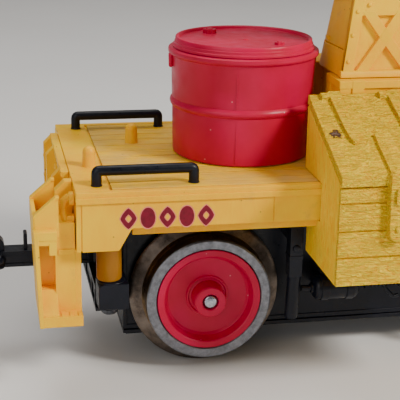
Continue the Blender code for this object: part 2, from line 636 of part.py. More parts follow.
def drive():
    """Motor, shaft with a worm over each axle, and circuit board inside the chassis."""
    part("motor_can", turned([(1.7, -18), (10.2, -18), (11.0, -16.5), (11.0, 16.5),
                              (10.2, 18), (1.7, 18)], "X", (0, 0, SHAFT_Z), 16),
         "plain_steel", smooth=True)
    axis = pivot("motor_pivot", (0, 0, SHAFT_Z))
    part("motor_shaft", rod("X", (0, 0, SHAFT_Z), SHAFT_RADIUS, -77, 77, 12), "plain_steel",
         origin=(0, 0, SHAFT_Z), parent=axis, smooth=True)
    for side, x in (("left", -AXLE_X), ("right", AXLE_X)):
        core = turned([(1.5, x - 6), (2.9, x - 6), (2.9, x + 6), (1.5, x + 6)], "X",
                      (0, 0, SHAFT_Z), 12)
        worm = part("worm_" + side, core, "brass", origin=(0, 0, SHAFT_Z), parent=axis)
        join(worm, worm_thread(x, 3, 12))
    part("circuit_board", block((24.0, 62.0), (-13.0, 13.0), (50.4, 52.0)), "green_board")


def wheelset(side, x):
    """An axle with its worm gear and two wheels with separate tyres."""
    origin = (x, 0, AXLE_Z)
    axis = pivot("wheelset_" + side + "_pivot", origin)
    end = HUB_FACE_Y - 0.4
    part("axle_" + side, rod("Y", origin, AXLE_RADIUS, -end, end, 16), "plain_steel",
         origin=origin, parent=axis, smooth=True)
    gear = part("worm_gear_" + side, worm_gear_blank(x), "white_plastic", origin=origin,
                parent=axis)
    cut(gear, rod("Y", origin, AXLE_RADIUS + 0.25, -10, 10, 16))
    for name, sign in (("near", -1), ("far", 1)):
        face = WHEEL_FACE_Y
        bore = AXLE_RADIUS + 0.25
        centre = [(CENTRE_RADIUS, face - 8.5), (CENTRE_RADIUS, face), (17.2, face),
                  (16.4, DISH_FLOOR_Y + 0.6), (15.4, DISH_FLOOR_Y), (7.0, DISH_FLOOR_Y),
                  (6.2, HUB_FACE_Y - 0.4), (5.8, HUB_FACE_Y), (bore, HUB_FACE_Y),
                  (bore, WHEEL_BACK_Y + 0.4), (8.0, WHEEL_BACK_Y + 0.4),
                  (9.0, DISH_FLOOR_Y - 2.0), (17.0, DISH_FLOOR_Y - 2.0)]
        part("wheel_centre_" + side + "_" + name,
             turned([(r, sign * h) for r, h in centre], "Y", origin, 24),
             "red_plastic", origin=origin, parent=axis, smooth=True)
        seat = CENTRE_RADIUS + 0.4
        tyre = [(seat, WHEEL_BACK_Y), (seat, face), (TREAD_RADIUS, face),
                (TREAD_RADIUS + 0.4, face - 8.4), (28.2, face - 10.1),
                (FLANGE_RADIUS, face - 10.6), (28.0, WHEEL_BACK_Y)]
        part("wheel_tyre_" + side + "_" + name,
             turned([(r, sign * h) for r, h in tyre], "Y", origin, 32),
             "wheel_steel", origin=origin, parent=axis, smooth=True)


def build():
    clear_scene()
    deck()
    for side, angle in (("left", 0), ("right", 180)):
        end_beam("end_beam_" + side, angle)
        corner_step("corner_step_" + side, angle)
        coupler("coupler_" + side, angle)
    for side, low, high in (("left", -110.0, -75.5), ("right", 75.5, 110.0)):
        for place, y in (("near", -41.0), ("far", 41.0)):
            handrail("handrail_" + side + "_" + place, low, high, y)
    for side, x in (("left", -DRUM_X), ("right", DRUM_X)):
        drum(side, x)
    for side, angle in (("near", 0), ("far", 180)):
        tool_box(side, angle)
        air_tank("air_tank_" + side, angle)
    tower()
    chassis()
    chassis_screws()
    drive()
    for side, x in (("left", -AXLE_X), ("right", AXLE_X)):
        wheelset(side, x)
        for place, y_sign in (("near", -1), ("far", 1)):
            brake_hanger("brake_hanger_" + side + "_" + place, -1 if x < 0 else 1, y_sign)


build()
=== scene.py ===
import math

import bmesh
import bpy
from mathutils import Matrix, Vector


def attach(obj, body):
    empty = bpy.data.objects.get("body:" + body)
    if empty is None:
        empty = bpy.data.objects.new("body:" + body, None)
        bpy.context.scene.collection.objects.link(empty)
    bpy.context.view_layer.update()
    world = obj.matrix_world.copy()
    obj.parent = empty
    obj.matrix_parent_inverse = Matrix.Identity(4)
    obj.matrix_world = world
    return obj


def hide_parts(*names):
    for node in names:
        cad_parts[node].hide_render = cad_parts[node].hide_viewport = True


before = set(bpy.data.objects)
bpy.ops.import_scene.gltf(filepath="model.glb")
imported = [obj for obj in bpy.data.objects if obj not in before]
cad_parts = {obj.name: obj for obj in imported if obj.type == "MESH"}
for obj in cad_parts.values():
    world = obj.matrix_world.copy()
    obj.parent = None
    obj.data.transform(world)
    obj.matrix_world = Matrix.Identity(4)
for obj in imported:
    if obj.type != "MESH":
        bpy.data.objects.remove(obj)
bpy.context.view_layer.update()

MM = 0.001
DECK = 78.5                     # height of the deck's top; lengths are in millimetres
AXLE_X, AXLE_Z = 67.0, 29.0
DRUM_X = 49.2
BOSS_X, BOSS_Y = 105.2, 35.0    # the deck's bosses and their screws
COUPLER_X = 104.0               # the pin that a coupler swings on
ENDS = (("left", 0), ("right", 180))    # each with its turn about the car's middle
SIDES = (("near", 0), ("far", 180))
SIGN = {"left": -1, "right": 1, "near": -1, "far": 1}


# ---- procedural finishes ----

class Finish:
    """One node material. Its textures are measured in millimetres on the piece."""

    def __init__(self, name, roughness=0.4, metallic=0.0, subsurface=0.0, coat=0.0):
        self.material = bpy.data.materials.new(name)
        self.material.use_nodes = True
        self.tree = self.material.node_tree
        self.shader = self.tree.nodes["Principled BSDF"]
        self.shade("Roughness", roughness)
        self.shade("Metallic", metallic)
        self.shade("Subsurface Weight", subsurface)
        self.shade("Subsurface Scale", 0.0012)
        self.shade("Coat Weight", coat)
        self.shade("Specular IOR Level", 0.25)
        self.place = self.node("TexCoord").outputs["Object"]

    def node(self, kind, **inputs):
        """A new shader node, with inputs linked or set by name."""
        made = self.tree.nodes.new("ShaderNode" + kind)
        for name, value in inputs.items():
            self.plug(made.inputs[name], value)
        return made

    def plug(self, target, value):
        """Links an output to an input, or sets the input to a plain value."""
        if isinstance(value, bpy.types.NodeSocket):
            self.tree.links.new(value, target)
        elif isinstance(value, (tuple, list)) and len(value) == 3 and target.type == "RGBA":
            target.default_value = (*value, 1.0)
        else:
            target.default_value = value

    def shade(self, name, value):
        self.plug(self.shader.inputs[name], value)

    def mapped(self, per_mm, shift):
        """Texture space with the given cycles per millimetre, the same or one for each axis."""
        if not isinstance(per_mm, tuple):
            per_mm = (per_mm, per_mm, per_mm)
        scale = [cycles / MM for cycles in per_mm]
        return self.node("Mapping", Vector=self.place, Scale=scale, Location=shift).outputs["Vector"]

    def noise(self, per_mm, detail=4.0, roughness=0.55, distortion=0.0, shift=(0.0, 0.0, 0.0), space=None):
        made = self.node("TexNoise", Vector=space or self.mapped(per_mm, shift), Scale=1.0, Detail=detail,
                         Roughness=roughness, Distortion=distortion)
        return made.outputs["Fac"]

    def spots(self, per_mm, shift=(0.0, 0.0, 0.0)):
        """Distance to scattered points, 0 at each."""
        made = self.node("TexVoronoi", Vector=self.mapped(per_mm, shift), Scale=1.0)
        return made.outputs["Distance"]

    def ramp(self, value, *stops):
        """Colours or grey levels at positions along 0 to 1."""
        made = self.node("ValToRGB")
        self.plug(made.inputs["Fac"], value)
        elements = made.color_ramp.elements
        while len(elements) < len(stops):
            elements.new(0.5)
        for element, (position, colour) in zip(elements, stops):
            element.position = position
            grey = not isinstance(colour, (tuple, list))
            element.color = (colour, colour, colour, 1.0) if grey else (*colour, 1.0)
        return made.outputs["Color"]

    def calc(self, operation, a, b):
        """One step of arithmetic on two values or outputs."""
        made = self.node("Math")
        made.operation = operation
        self.plug(made.inputs[0], a)
        self.plug(made.inputs[1], b)
        return made.outputs[0]

    def mix(self, share, a, b):
        made = self.node("Mix")
        made.data_type = "RGBA"
        self.plug(made.inputs[0], share)
        self.plug(made.inputs[6], a)
        self.plug(made.inputs[7], b)
        return made.outputs[2]

    def near(self, point, reach):
        """1 at a point, 0 beyond reach of it, both in millimetres."""
        away = self.node("VectorMath")
        away.operation = "DISTANCE"
        self.plug(away.inputs[0], self.place)
        away.inputs[1].default_value = [p * MM for p in point]
        return self.ramp(self.calc("DIVIDE", away.outputs["Value"], reach * MM), (0.0, 1.0), (1.0, 0.0))

    def over(self, under, colour, pattern, low, high, share):
        """A colour that comes in over another as a pattern rises from low to high."""
        return self.mix(self.ramp(pattern, (low, 0.0), (high, share)), under, colour)

    def bump(self, height, depth_mm, strength=1.0, after=None):
        """A relief of the given depth, laid over another where one is given."""
        made = self.node("Bump", Strength=strength, Distance=depth_mm * MM, Height=height)
        if after is not None:
            self.plug(made.inputs["Normal"], after)
        return made.outputs["Normal"]


YELLOW = (0.94, 0.50, 0.0)
YELLOW_DEEP = (0.88, 0.42, 0.0)
YELLOW_PALE = (0.96, 0.61, 0.004)
BOX = (0.98, 0.57, 0.006)
BOX_DEEP = (0.92, 0.40, 0.0)
BOX_PALE = (0.98, 0.70, 0.03)
DUST = (0.36, 0.26, 0.14)
GRIME = (0.16, 0.10, 0.05)


def yellow_moulded(name, deep, base, pale):
    """Smooth moulded plastic with soft cloudy tones, thin dust and a few dark specks."""
    made = Finish(name, roughness=0.42, subsurface=0.12)
    tone = made.ramp(made.noise(0.035, detail=3), (0.35, deep), (0.55, base), (0.75, pale))
    fine = made.over(tone, pale, made.noise((0.5, 0.5, 0.16), distortion=0.8), 0.45, 0.8, 0.35)
    dust = made.noise(0.09, detail=8, roughness=0.7, shift=(9, 2, 4))
    dusty = made.over(fine, DUST, dust, 0.58, 0.78, 0.42)
    specks = made.mix(made.ramp(made.spots(0.16), (0.03, 0.75), (0.06, 0.0)), dusty, GRIME)
    made.shade("Base Color", specks)
    made.shade("Roughness", made.ramp(made.noise(0.3), (0.3, 0.36), (0.7, 0.52)))
    skin = made.bump(made.noise(2.2, detail=2), 0.03, 0.5)
    made.shade("Normal", made.bump(made.noise(0.06), 0.18, 0.5, skin))
    return made.material


def yellow_planks():
    """Deck boards with moulded grain that runs along the car."""
    made = Finish("yellow_planks", roughness=0.5, subsurface=0.08)
    parts = made.node("SeparateXYZ")
    made.plug(parts.inputs[0], made.place)
    across = made.calc("ADD", parts.outputs["Y"], 46.2 * MM)
    board = made.calc("FLOOR", made.calc("DIVIDE", across, 8.4 * MM), 0.0)
    shifted = made.node("CombineXYZ")
    made.plug(shifted.inputs["X"], made.calc("ADD", made.calc("MULTIPLY", parts.outputs["X"], 28.0),
                                             made.calc("MULTIPLY", board, 7.31)))
    made.plug(shifted.inputs["Y"], made.calc("MULTIPLY", parts.outputs["Y"], 1400.0))
    made.plug(shifted.inputs["Z"], made.calc("MULTIPLY", parts.outputs["Z"], 300.0))
    grain = made.noise(1.0, detail=6, roughness=0.65, distortion=1.2, space=shifted.outputs[0])
    tone = made.ramp(grain, (0.30, (0.50, 0.22, 0.0)), (0.46, YELLOW), (0.64, YELLOW_PALE),
                     (0.8, (0.88, 0.64, 0.18)))
    patches = made.noise(0.045, detail=7, roughness=0.65)
    dusty = made.over(tone, (0.50, 0.40, 0.23), patches, 0.42, 0.7, 0.55)
    nicks = made.ramp(made.spots(0.12, (3, 1, 7)), (0.02, 0.8), (0.05, 0.0))
    marked = made.mix(nicks, dusty, GRIME)
    height = made.calc("DIVIDE", parts.outputs["Z"], 100.0 * MM)
    # Painted shade: below 77.8 mm, down in the grooves between the boards, the colour turns dark amber.
    groove = made.ramp(height, (0.778, 0.85), (0.783, 0.0))
    made.shade("Base Color", made.mix(groove, marked, (0.12, 0.045, 0.004)))
    made.shade("Roughness", made.ramp(grain, (0.3, 0.6), (0.7, 0.42)))
    made.shade("Normal", made.bump(grain, 0.55, 1.0))
    return made.material


def box_grain(name, along, chip=None):
    """Pale plastic with heavy moulded wood grain, long in the given direction."""
    made = Finish(name, roughness=0.42, subsurface=0.12)
    stretch = {"X": (0.20, 0.75, 0.75), "Z": (0.55, 0.55, 0.09)}[along]
    fine = {"X": (0.5, 2.6, 2.6), "Z": (2.0, 2.0, 0.35)}[along]
    wave = made.noise(stretch, detail=3, roughness=0.5, distortion=2.2)
    hair = made.noise(fine, detail=4, roughness=0.6, distortion=0.8, shift=(4, 4, 4))
    relief = made.calc("ADD", made.calc("MULTIPLY", wave, 0.85), made.calc("MULTIPLY", hair, 0.15))
    tone = made.ramp(relief, (0.32, BOX_DEEP), (0.45, BOX), (0.64, BOX_PALE))
    clouds = made.noise(0.03, shift=(5, 5, 5))
    soft = made.over(tone, BOX_DEEP if along == "Z" else BOX, clouds, 0.35, 0.7, 0.35)
    dust = made.noise(0.12, detail=8, roughness=0.7)
    colour = made.over(soft, DUST, dust, 0.60, 0.78, 0.5)
    if chip:
        ragged = made.calc("MULTIPLY", made.near(chip, 5.8), made.noise(0.55, detail=6, roughness=0.7))
        colour = made.over(colour, (0.055, 0.012, 0.022), ragged, 0.28, 0.33, 0.95)
        colour = made.over(colour, (0.30, 0.20, 0.16), ragged, 0.40, 0.44, 0.8)
    made.shade("Base Color", colour)
    made.shade("Roughness", made.ramp(relief, (0.35, 0.55), (0.65, 0.34)))
    made.shade("Normal", made.bump(relief, 3.2 if along == "X" else 0.8, 1.0))
    return made.material


def red_plastic(name, base, deep, roughness, scuffs):
    """Glossy red plastic with pale nicks, and dark scuffs above the given level."""
    made = Finish(name, roughness=roughness, subsurface=0.06, coat=0.04)
    made.shade("Coat Roughness", 0.28)
    tone = made.ramp(made.noise(0.05, detail=4), (0.35, deep), (0.65, base))
    marks = made.mix(made.ramp(made.spots(0.13, (1, 6, 2)), (0.02, 0.7), (0.045, 0.0)), tone,
                     (0.80, 0.42, 0.45))
    dark = made.calc("MULTIPLY", made.noise((0.25, 0.25, 0.6), detail=9, roughness=0.8),
                     made.noise(0.07, detail=2, shift=(7, 1, 3)))
    scuffed = made.over(marks, (0.05, 0.012, 0.016), dark, scuffs, scuffs + 0.03, 0.8)
    made.shade("Base Color", scuffed)
    made.shade("Roughness", made.ramp(made.noise(0.22, detail=6), (0.35, roughness - 0.06),
                                      (0.7, roughness + 0.12)))
    made.shade("Normal", made.bump(made.noise(1.3, detail=2), 0.02, 0.5))
    return made.material


def black_moulded():
    """Satin black plastic with a thin film of dust, tinted blue as a painted reflection."""
    made = Finish("black_moulded", roughness=0.36)
    # Painted reflection: the black's tones are tinted blue.
    tone = made.ramp(made.noise(0.08, detail=5), (0.35, (0.002, 0.003, 0.007)),
                     (0.7, (0.005, 0.007, 0.015)))
    dust = made.noise(0.35, detail=9, roughness=0.75)
    made.shade("Base Color", made.over(tone, (0.16, 0.14, 0.12), dust, 0.60, 0.82, 0.28))
    made.shade("Roughness", made.ramp(made.noise(0.5), (0.3, 0.26), (0.7, 0.46)))
    made.shade("Normal", made.bump(made.noise(1.8, detail=2), 0.03, 0.5))
    return made.material


def metal(name, light, dark, roughness, per_mm, worn=None):
    """Metal with fine grain, and worn patches of another colour where one is given."""
    made = Finish(name, roughness=roughness, metallic=1.0)
    grain = made.noise(per_mm, detail=8, roughness=0.7)
    tone = made.ramp(grain, (0.35, dark), (0.65, light))
    if worn:
        tone = made.over(tone, worn, made.noise(0.09, detail=5, shift=(3, 8, 1)), 0.42, 0.66, 0.85)
    made.shade("Base Color", tone)
    made.shade("Roughness", made.ramp(grain, (0.3, roughness + 0.1), (0.7, roughness - 0.06)))
    made.shade("Normal", made.bump(grain, 0.03, 0.5))
    return made.material


def plain_grained(name, light, dark, roughness, per_mm):
    """A plain finish in two close tones."""
    made = Finish(name, roughness=roughness, subsurface=0.1)
    made.shade("Base Color", made.ramp(made.noise(per_mm, detail=6), (0.35, dark), (0.65, light)))
    made.shade("Roughness", made.ramp(made.noise(per_mm * 3), (0.3, roughness - 0.05),
                                      (0.7, roughness + 0.1)))
    made.shade("Normal", made.bump(made.noise(per_mm * 8, detail=2), 0.02, 0.4))
    return made.material


M = {
    "yellow": yellow_moulded("yellow_moulded", YELLOW_DEEP, YELLOW, YELLOW_PALE),
    # The bosses under the deck take this darker copy of the yellow: painted shade.
    "painted_shade": yellow_moulded("painted_shade_moulded", (0.30, 0.12, 0.004), (0.36, 0.15, 0.006),
                            (0.42, 0.19, 0.012)),
    "planks": yellow_planks(),
    "box": box_grain("box_grain_along", "X"),
    "box_up": box_grain("box_grain_upright", "Z"),
    "lid": box_grain("box_lid_grain", "X", chip=(-27.2, -50.8, 97.0)),
    "drum": red_plastic("drum_red", (0.56, 0.0, 0.062), (0.47, 0.0, 0.036), 0.36, 0.52),
    "wheel": red_plastic("wheel_red", (0.58, 0.0, 0.062), (0.48, 0.0, 0.036), 0.40, 0.44),
    "black": black_moulded(),
    "rim": metal("tyre_rim_steel", (0.25, 0.26, 0.29), (0.14, 0.145, 0.165), 0.40, 0.5),
    "tread": metal("tyre_tread_brown", (0.46, 0.29, 0.12), (0.13, 0.078, 0.040), 0.30, 0.30,
                   worn=(0.22, 0.17, 0.13)),
    # The flange takes a darker copy of the tread's brown metal: painted shade.
    "flange": metal("tyre_flange_painted_shade", (0.16, 0.125, 0.10), (0.05, 0.040, 0.035), 0.38, 0.35,
                    worn=(0.24, 0.20, 0.17)),
    "steel": metal("bright_steel", (0.56, 0.60, 0.66), (0.30, 0.33, 0.38), 0.26, 0.7),
    "dark": metal("blackened_steel", (0.10, 0.105, 0.12), (0.035, 0.038, 0.045), 0.36, 0.7),
    "brass": metal("plain_brass", (0.72, 0.50, 0.20), (0.46, 0.30, 0.11), 0.28, 0.7),
    "nylon": plain_grained("natural_nylon", (0.80, 0.79, 0.73), (0.68, 0.67, 0.60), 0.42, 0.3),
    "board": plain_grained("lacquered_board", (0.03, 0.22, 0.09), (0.015, 0.12, 0.05), 0.3, 0.5),
    "maroon": plain_grained("print_maroon", (0.20, 0.004, 0.022), (0.14, 0.003, 0.014), 0.40, 0.6),
    "pink": plain_grained("print_pink", (0.80, 0.24, 0.17), (0.70, 0.17, 0.12), 0.42, 0.6),
}


# ---- shapes ----

class Solid:
    """Closed shapes gathered in millimetres, which become one piece."""

    def __init__(self):
        self.bm = bmesh.new()

    def loft(self, lower, upper):
        """A closed solid between two loops of points."""
        a = [self.bm.verts.new(p) for p in lower]
        b = [self.bm.verts.new(p) for p in upper]
        count = len(a)
        faces = [self.bm.faces.new((a[i], a[(i + 1) % count], b[(i + 1) % count], b[i]))
                 for i in range(count)]
        faces += [self.bm.faces.new(a), self.bm.faces.new(b)]
        bmesh.ops.recalc_face_normals(self.bm, faces=faces)

    def prism(self, outline, axis, low, high):
        """A flat outline drawn out along an axis."""
        place = {"X": lambda u, v, w: (w, u, v), "Y": lambda u, v, w: (u, w, v),
                 "Z": lambda u, v, w: (u, v, w)}[axis]
        self.loft([place(u, v, low) for u, v in outline], [place(u, v, high) for u, v in outline])

    def box(self, x, y, z):
        self.prism([(x[0], y[0]), (x[1], y[0]), (x[1], y[1]), (x[0], y[1])], "Z", *z)

    def lathe(self, profile, axis, centre, segments=64):
        """A (radius, height) outline turned about an axis; radius 0 is on the axis."""
        place = {"X": lambda r, h, a: (h, r * math.cos(a), r * math.sin(a)),
                 "Y": lambda r, h, a: (r * math.cos(a), h, r * math.sin(a)),
                 "Z": lambda r, h, a: (r * math.cos(a), r * math.sin(a), h)}[axis]
        rings = []
        for radius, height in profile:
            turns = 1 if radius == 0.0 else segments
            rings.append([self.bm.verts.new(Vector(centre) + Vector(
                place(radius, height, 2 * math.pi * k / segments))) for k in range(turns)])
        faces = []
        for i, ring in enumerate(rings):
            other = rings[(i + 1) % len(rings)]
            if len(ring) == 1 and len(other) == 1:
                continue
            for k in range(segments):
                n = (k + 1) % segments
                corners = [ring[k % len(ring)], ring[n % len(ring)], other[n % len(other)],
                           other[k % len(other)]]
                faces.append(self.bm.faces.new(list(dict.fromkeys(corners))))
        bmesh.ops.recalc_face_normals(self.bm, faces=faces)

    def tube(self, route, radius, sides=20):
        """A round rod along a list of points."""
        points = [Vector(p) for p in route]
        rings = []
        side = None
        for i, point in enumerate(points):
            ahead = points[min(i + 1, len(points) - 1)] - points[max(i - 1, 0)]
            ahead.normalize()
            if side is None:
                side = ahead.cross(Vector((0.0, 1.0, 0.0)))
                if side.length < 0.1:
                    side = ahead.cross(Vector((1.0, 0.0, 0.0)))
            side = (side - ahead * side.dot(ahead)).normalized()
            up = ahead.cross(side)
            size = radius[i] if isinstance(radius, (tuple, list)) else radius
            rings.append([self.bm.verts.new(point + size * (side * math.cos(a) + up * math.sin(a)))
                          for a in (2 * math.pi * k / sides for k in range(sides))])
        faces = [self.bm.faces.new((a[k], a[(k + 1) % sides], b[(k + 1) % sides], b[k]))
                 for a, b in zip(rings, rings[1:]) for k in range(sides)]
        faces += [self.bm.faces.new(rings[0]), self.bm.faces.new(rings[-1])]
        bmesh.ops.recalc_face_normals(self.bm, faces=faces)

    def piece(self, name, finish, nodes=(), turn=0, body="car_body", bevel=0.25, sharp=35):
        """Places the shapes as one piece that rides on a body and stands for CAD nodes."""
        matrix = Matrix.Rotation(math.radians(turn), 3, "Z")
        bmesh.ops.rotate(self.bm, verts=self.bm.verts, cent=(0, 0, 0), matrix=matrix)
        bmesh.ops.scale(self.bm, verts=self.bm.verts, vec=(MM, MM, MM))
        mesh = bpy.data.meshes.new(name)
        self.bm.to_mesh(mesh)
        self.bm.free()
        mesh.materials.append(M[finish])
        mesh.shade_smooth()
        mesh.set_sharp_from_angle(angle=math.radians(sharp))
        made = bpy.data.objects.new(name, mesh)
        bpy.context.scene.collection.objects.link(made)
        if bevel:
            edge = made.modifiers.new("edge", "BEVEL")
            edge.width = bevel * MM
            edge.segments = 2
            edge.limit_method = "ANGLE"
            edge.angle_limit = math.radians(sharp)
            edge.harden_normals = True
        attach(made, body)
        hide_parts(*nodes)


def round_corners(width, height, radius, centre=(0.0, 0.0), steps=5):
    """A rectangle's outline with round corners."""
    points = []
    for cx, cy, start in ((1, 1, 0), (-1, 1, 90), (-1, -1, 180), (1, -1, 270)):
        for k in range(steps + 1):
            a = math.radians(start + 90 * k / steps)
            points.append((centre[0] + cx * (width / 2 - radius) + radius * math.cos(a),
                           centre[1] + cy * (height / 2 - radius) + radius * math.sin(a)))
    return points


def both_halves(middle, half, tip=()):
    """An outline from its one half, as distances from its middle line, and a tip on that line."""
    return ([(middle - u, v) for u, v in half] + [(middle, v) for v in tip]
            + [(middle + u, v) for u, v in reversed(half)])


def signed(sign, outline):
    """An outline that stands on the side that the sign gives."""
    return [(sign * u, v) for u, v in outline]


def span(sign, near, far):
    """Two distances from the middle, on the side that the sign gives, in rising order."""
    return sorted((sign * near, sign * far))


# ---- deck ----

def deck():
    """Planked top, edges with their moulded ledges, the pegs and the bosses underneath."""
    planks = Solid()
    planks.box((-105.2, 105.2), (-46, 46), (75.5, 77.45))
    for k in range(11):
        low = -46 + 8.364 * k
        planks.box((-105.1, 105.1), (low + 0.28, low + 8.08), (77, DECK))
    planks.piece("deck_planks", "planks", ("deck_shell",), bevel=0.22)

    shell = Solid()
    for end in (-1, 1):
        shell.box(span(end, 105.9, 117.9), (-46.4, 46.4), (75.6, DECK))
        shell.box(span(end, 115.4, 117.5), (-48, 48), (57.3, 76.2))
        shell.box(span(end, 104.6, 106.4), (-46.4, 46.4), (75, 77.7))
    for side in (-1, 1):
        shell.box((-117.9, 117.9), span(side, 46.7, 49.4), (75, DECK))
        shell.box((-118, 118), span(side, 46, 50), (74.5, 76.75))
        shell.box((-117.6, 117.6), span(side, 45, 49), (76, 77.6))
        shell.box((-98, 98), span(side, 43.6, 45.2), (61.2, 76))
        for end in (-1, 1):
            shell.box(span(end, 116.35, 117.9), span(side, 46.9, 49.2), (57, 75))
            panel = [(115.95, 75), (115.95, 56.9), (103.4, 56.9), (102.9, 57.2), (98.9, 64.4),
                     (98.2, 64.9), (48.15, 64.9), (48.15, 75)]
            shell.prism(signed(end, panel), "Y", side * 46.7, side * 49.2)
            inner = [(117, 75), (117, 57.3), (103.6, 57.3), (99.2, 65.3), (99, 75)]
            shell.prism(signed(end, inner), "Y", side * 46.3, side * 48.8)
        shell.box((-47.85, 47.85), span(side, 46.7, 49.2), (64.9, 75))
        shell.box((-99, 99), span(side, 46.3, 48.9), (65.2, 75))
    bosses = Solid()
    for turn in (1, -1):
        for y in (-BOSS_Y, BOSS_Y):
            bosses.lathe([(0, 76), (5.6, 76), (5, 62), (4.6, 59), (4.6, 42.1), (4.2, 41.5), (0, 41.5)],
                         "Z", (-BOSS_X * turn, y * turn, 0), 40)
        for x, y in ((-110.1, -15.6), (-90.1, 16.5)):
            shell.lathe([(0, 77.5), (2.8, 77.5), (2.5, DECK + 0.3), (2.35, DECK + 5.2), (2.15, DECK + 6.3),
                         (1.6, DECK + 7.1), (0.8, DECK + 7.5), (0, DECK + 7.6)], "Z",
                        (x * turn, y * turn, 0), 32)
    # Painted shade: the bosses take the darker copy of the yellow.
    bosses.piece("deck_bosses", "painted_shade", bevel=0)
    shell.piece("deck_edges", "yellow", bevel=0.22)


def ornaments(side, turn):
    """Five printed shapes on the side panel: lozenges and ovals in turn."""
    prints = {"pink": Solid(), "maroon": Solid(), "yellow": Solid()}
    z = 68.65
    outer = (("pink", 3.22, 4.17), ("maroon", 2.8, 3.75))
    inner = (("pink", 1.15, 1.5), ("yellow", 0.8, 1.1))
    for number in range(5):
        x = -99.9 + 6.85 * number
        oval = number % 2
        for layer, (finish, width, height) in enumerate(outer if oval else outer + inner):
            shape = []
            for k in range(32):
                c, s = math.cos(math.pi * k / 16), math.sin(math.pi * k / 16)
                if oval:
                    shape.append((x + width * 0.92 * c, z + height * s))
                else:
                    shape.append((x + width * math.copysign(abs(c) ** 1.55, c),
                                  z + height * math.copysign(abs(s) ** 1.55, s)))
            prints[finish].prism(shape, "Y", -49.22 - 0.025 * layer, -49)
    for finish, solid in prints.items():
        solid.piece(f"ornaments_{finish}_{side}", finish, turn=turn, bevel=0)


def end_beam(side, turn):
    """Ribbed headstock with rows of rivets."""
    beam = Solid()
    beam.box((-120.3, -118.05), (-21.4, 36), (48, 78.2))
    beam.box((-121, -118.4), (-21.3, 35.9), (48.1, 50.2))
    beam.box((-121, -118.4), (-21.3, 35.9), (76.2, 78.3))
    rib = [(-119.3, DECK), (-120.7, DECK), (-123.9, 75.2), (-123.9, 48.1), (-119.3, 48.1)]
    for y in (-15.7, 15.7, 32.4):
        beam.prism(rib, "Y", y - 2, y + 2)
        for z in (54, 62, 70):
            beam.lathe([(0, -124.15), (0.7, -124.1), (0.95, -123.8), (0.95, -123.4), (0, -123.4)], "X",
                       (0, y, z), 16)
    for y in (-8.5, 8.5):
        for z in (56, 72):
            beam.lathe([(0, -121.4), (1.1, -121.3), (1.5, -120.8), (1.5, -120), (0, -120)],
                       "X", (0, y, z), 20)
    beam.piece(f"end_beam_skin_{side}", "yellow", (f"end_beam_{side}",), turn)


def corner_step(side, turn):
    """Step at a corner: guard plate, gussets, shelf and tread, with a moulded hose beside it."""
    step = Solid()
    guard = [(-132.6, 65.1), (-131.1, 65.1), (-129.7, 29.6), (-131.2, 29.6)]
    step.prism(guard, "Y", -50, -22)
    step.box((-132.6, -131.1), (-45.9, -22.1), (63, 69.4))
    gusset = [(-132.1, 62.1), (-132.1, 69.6), (-124.7, 76.1), (-123.7, 76.1), (-123.7, 62.1)]
    step.prism(gusset, "Y", -23.9, -22.2)
    step.prism(gusset, "Y", -46.1, -44.4)
    for y in (-24.3, -46.5):
        rim = [(-132.5, 68.8), (-132.5, 69.9), (-124.8, 76.6), (-123.5, 76.6), (-123.5, 75.7),
               (-124.5, 75.7)]
        step.prism(rim, "Y", y, y + 2.5)
    rib = [(-118.1, DECK), (-120.7, DECK), (-124.1, 75.1), (-124.1, 60), (-118.1, 60)]
    step.prism(rib, "Y", -34.4, -30.4)
    step.box((-132.1, -124.6), (-49.9, -22.3), (62.1, 65.15))
    step.box((-127.4, -124.8), (-49.8, -43.6), (56.6, 61.2))
    step.box((-131.9, -124.9), (-49.6, -48.2), (60.2, 62.4))
    step.box((-125.1, -118.1), (-44.7, -22.4), (29.8, 66.5))
    step.box((-119.3, -116), (-44.5, -22.5), (29.9, 56.5))
    step.box((-130.7, -116), (-49.7, -22.6), (29.6, 33.5))
    step.box((-130.6, -124.3), (-40, -38), (30.5, 64.1))
    slope = [(-49.4, 33), (-43.9, 41.8), (-38.4, 42), (-38.4, 33)]
    step.prism(slope, "X", -130.6, -124.5)
    for k in range(5):
        x = -129.6 + 3 * k
        step.box((x, x + 1.2), (-49.3, -45.2), (33.3, 33.85))
    step.box((-124, -118.5), (-45.1, -44.4), (55, 57))
    step.lathe([(0, -125.6), (0.9, -125.5), (1.3, -125.1), (1.3, -124.8), (0, -124.8)],
               "X", (0, -27, 52), 20)
    step.piece(f"corner_step_skin_{side}", "yellow", (f"corner_step_{side}",), turn)

    hose = Solid()
    route = [(-118.4, -40.2, 74.2), (-120, -40.3, 74.4), (-121.4, -40.6, 73.4), (-122, -41, 71.2),
             (-121.6, -41.4, 68.6), (-121, -41.6, 66.4), (-121.3, -41.4, 64.4), (-122.3, -41.1, 63.2)]
    hose.tube(route, [1.5, 1.5, 1.35, 1.25, 1.2, 1.25, 1.45, 1.2], 16)
    hose.lathe([(0, -119.9), (2.3, -119.8), (2.5, -119.4), (2.5, -118), (0, -118)],
               "X", (0, -40.2, 74), 24)
    hose.box((-120.6, -118), (-42.6, -39.8), (66.2, 68.4))
    hose.piece(f"moulded_hose_{side}", "yellow", turn=turn, bevel=0.15)


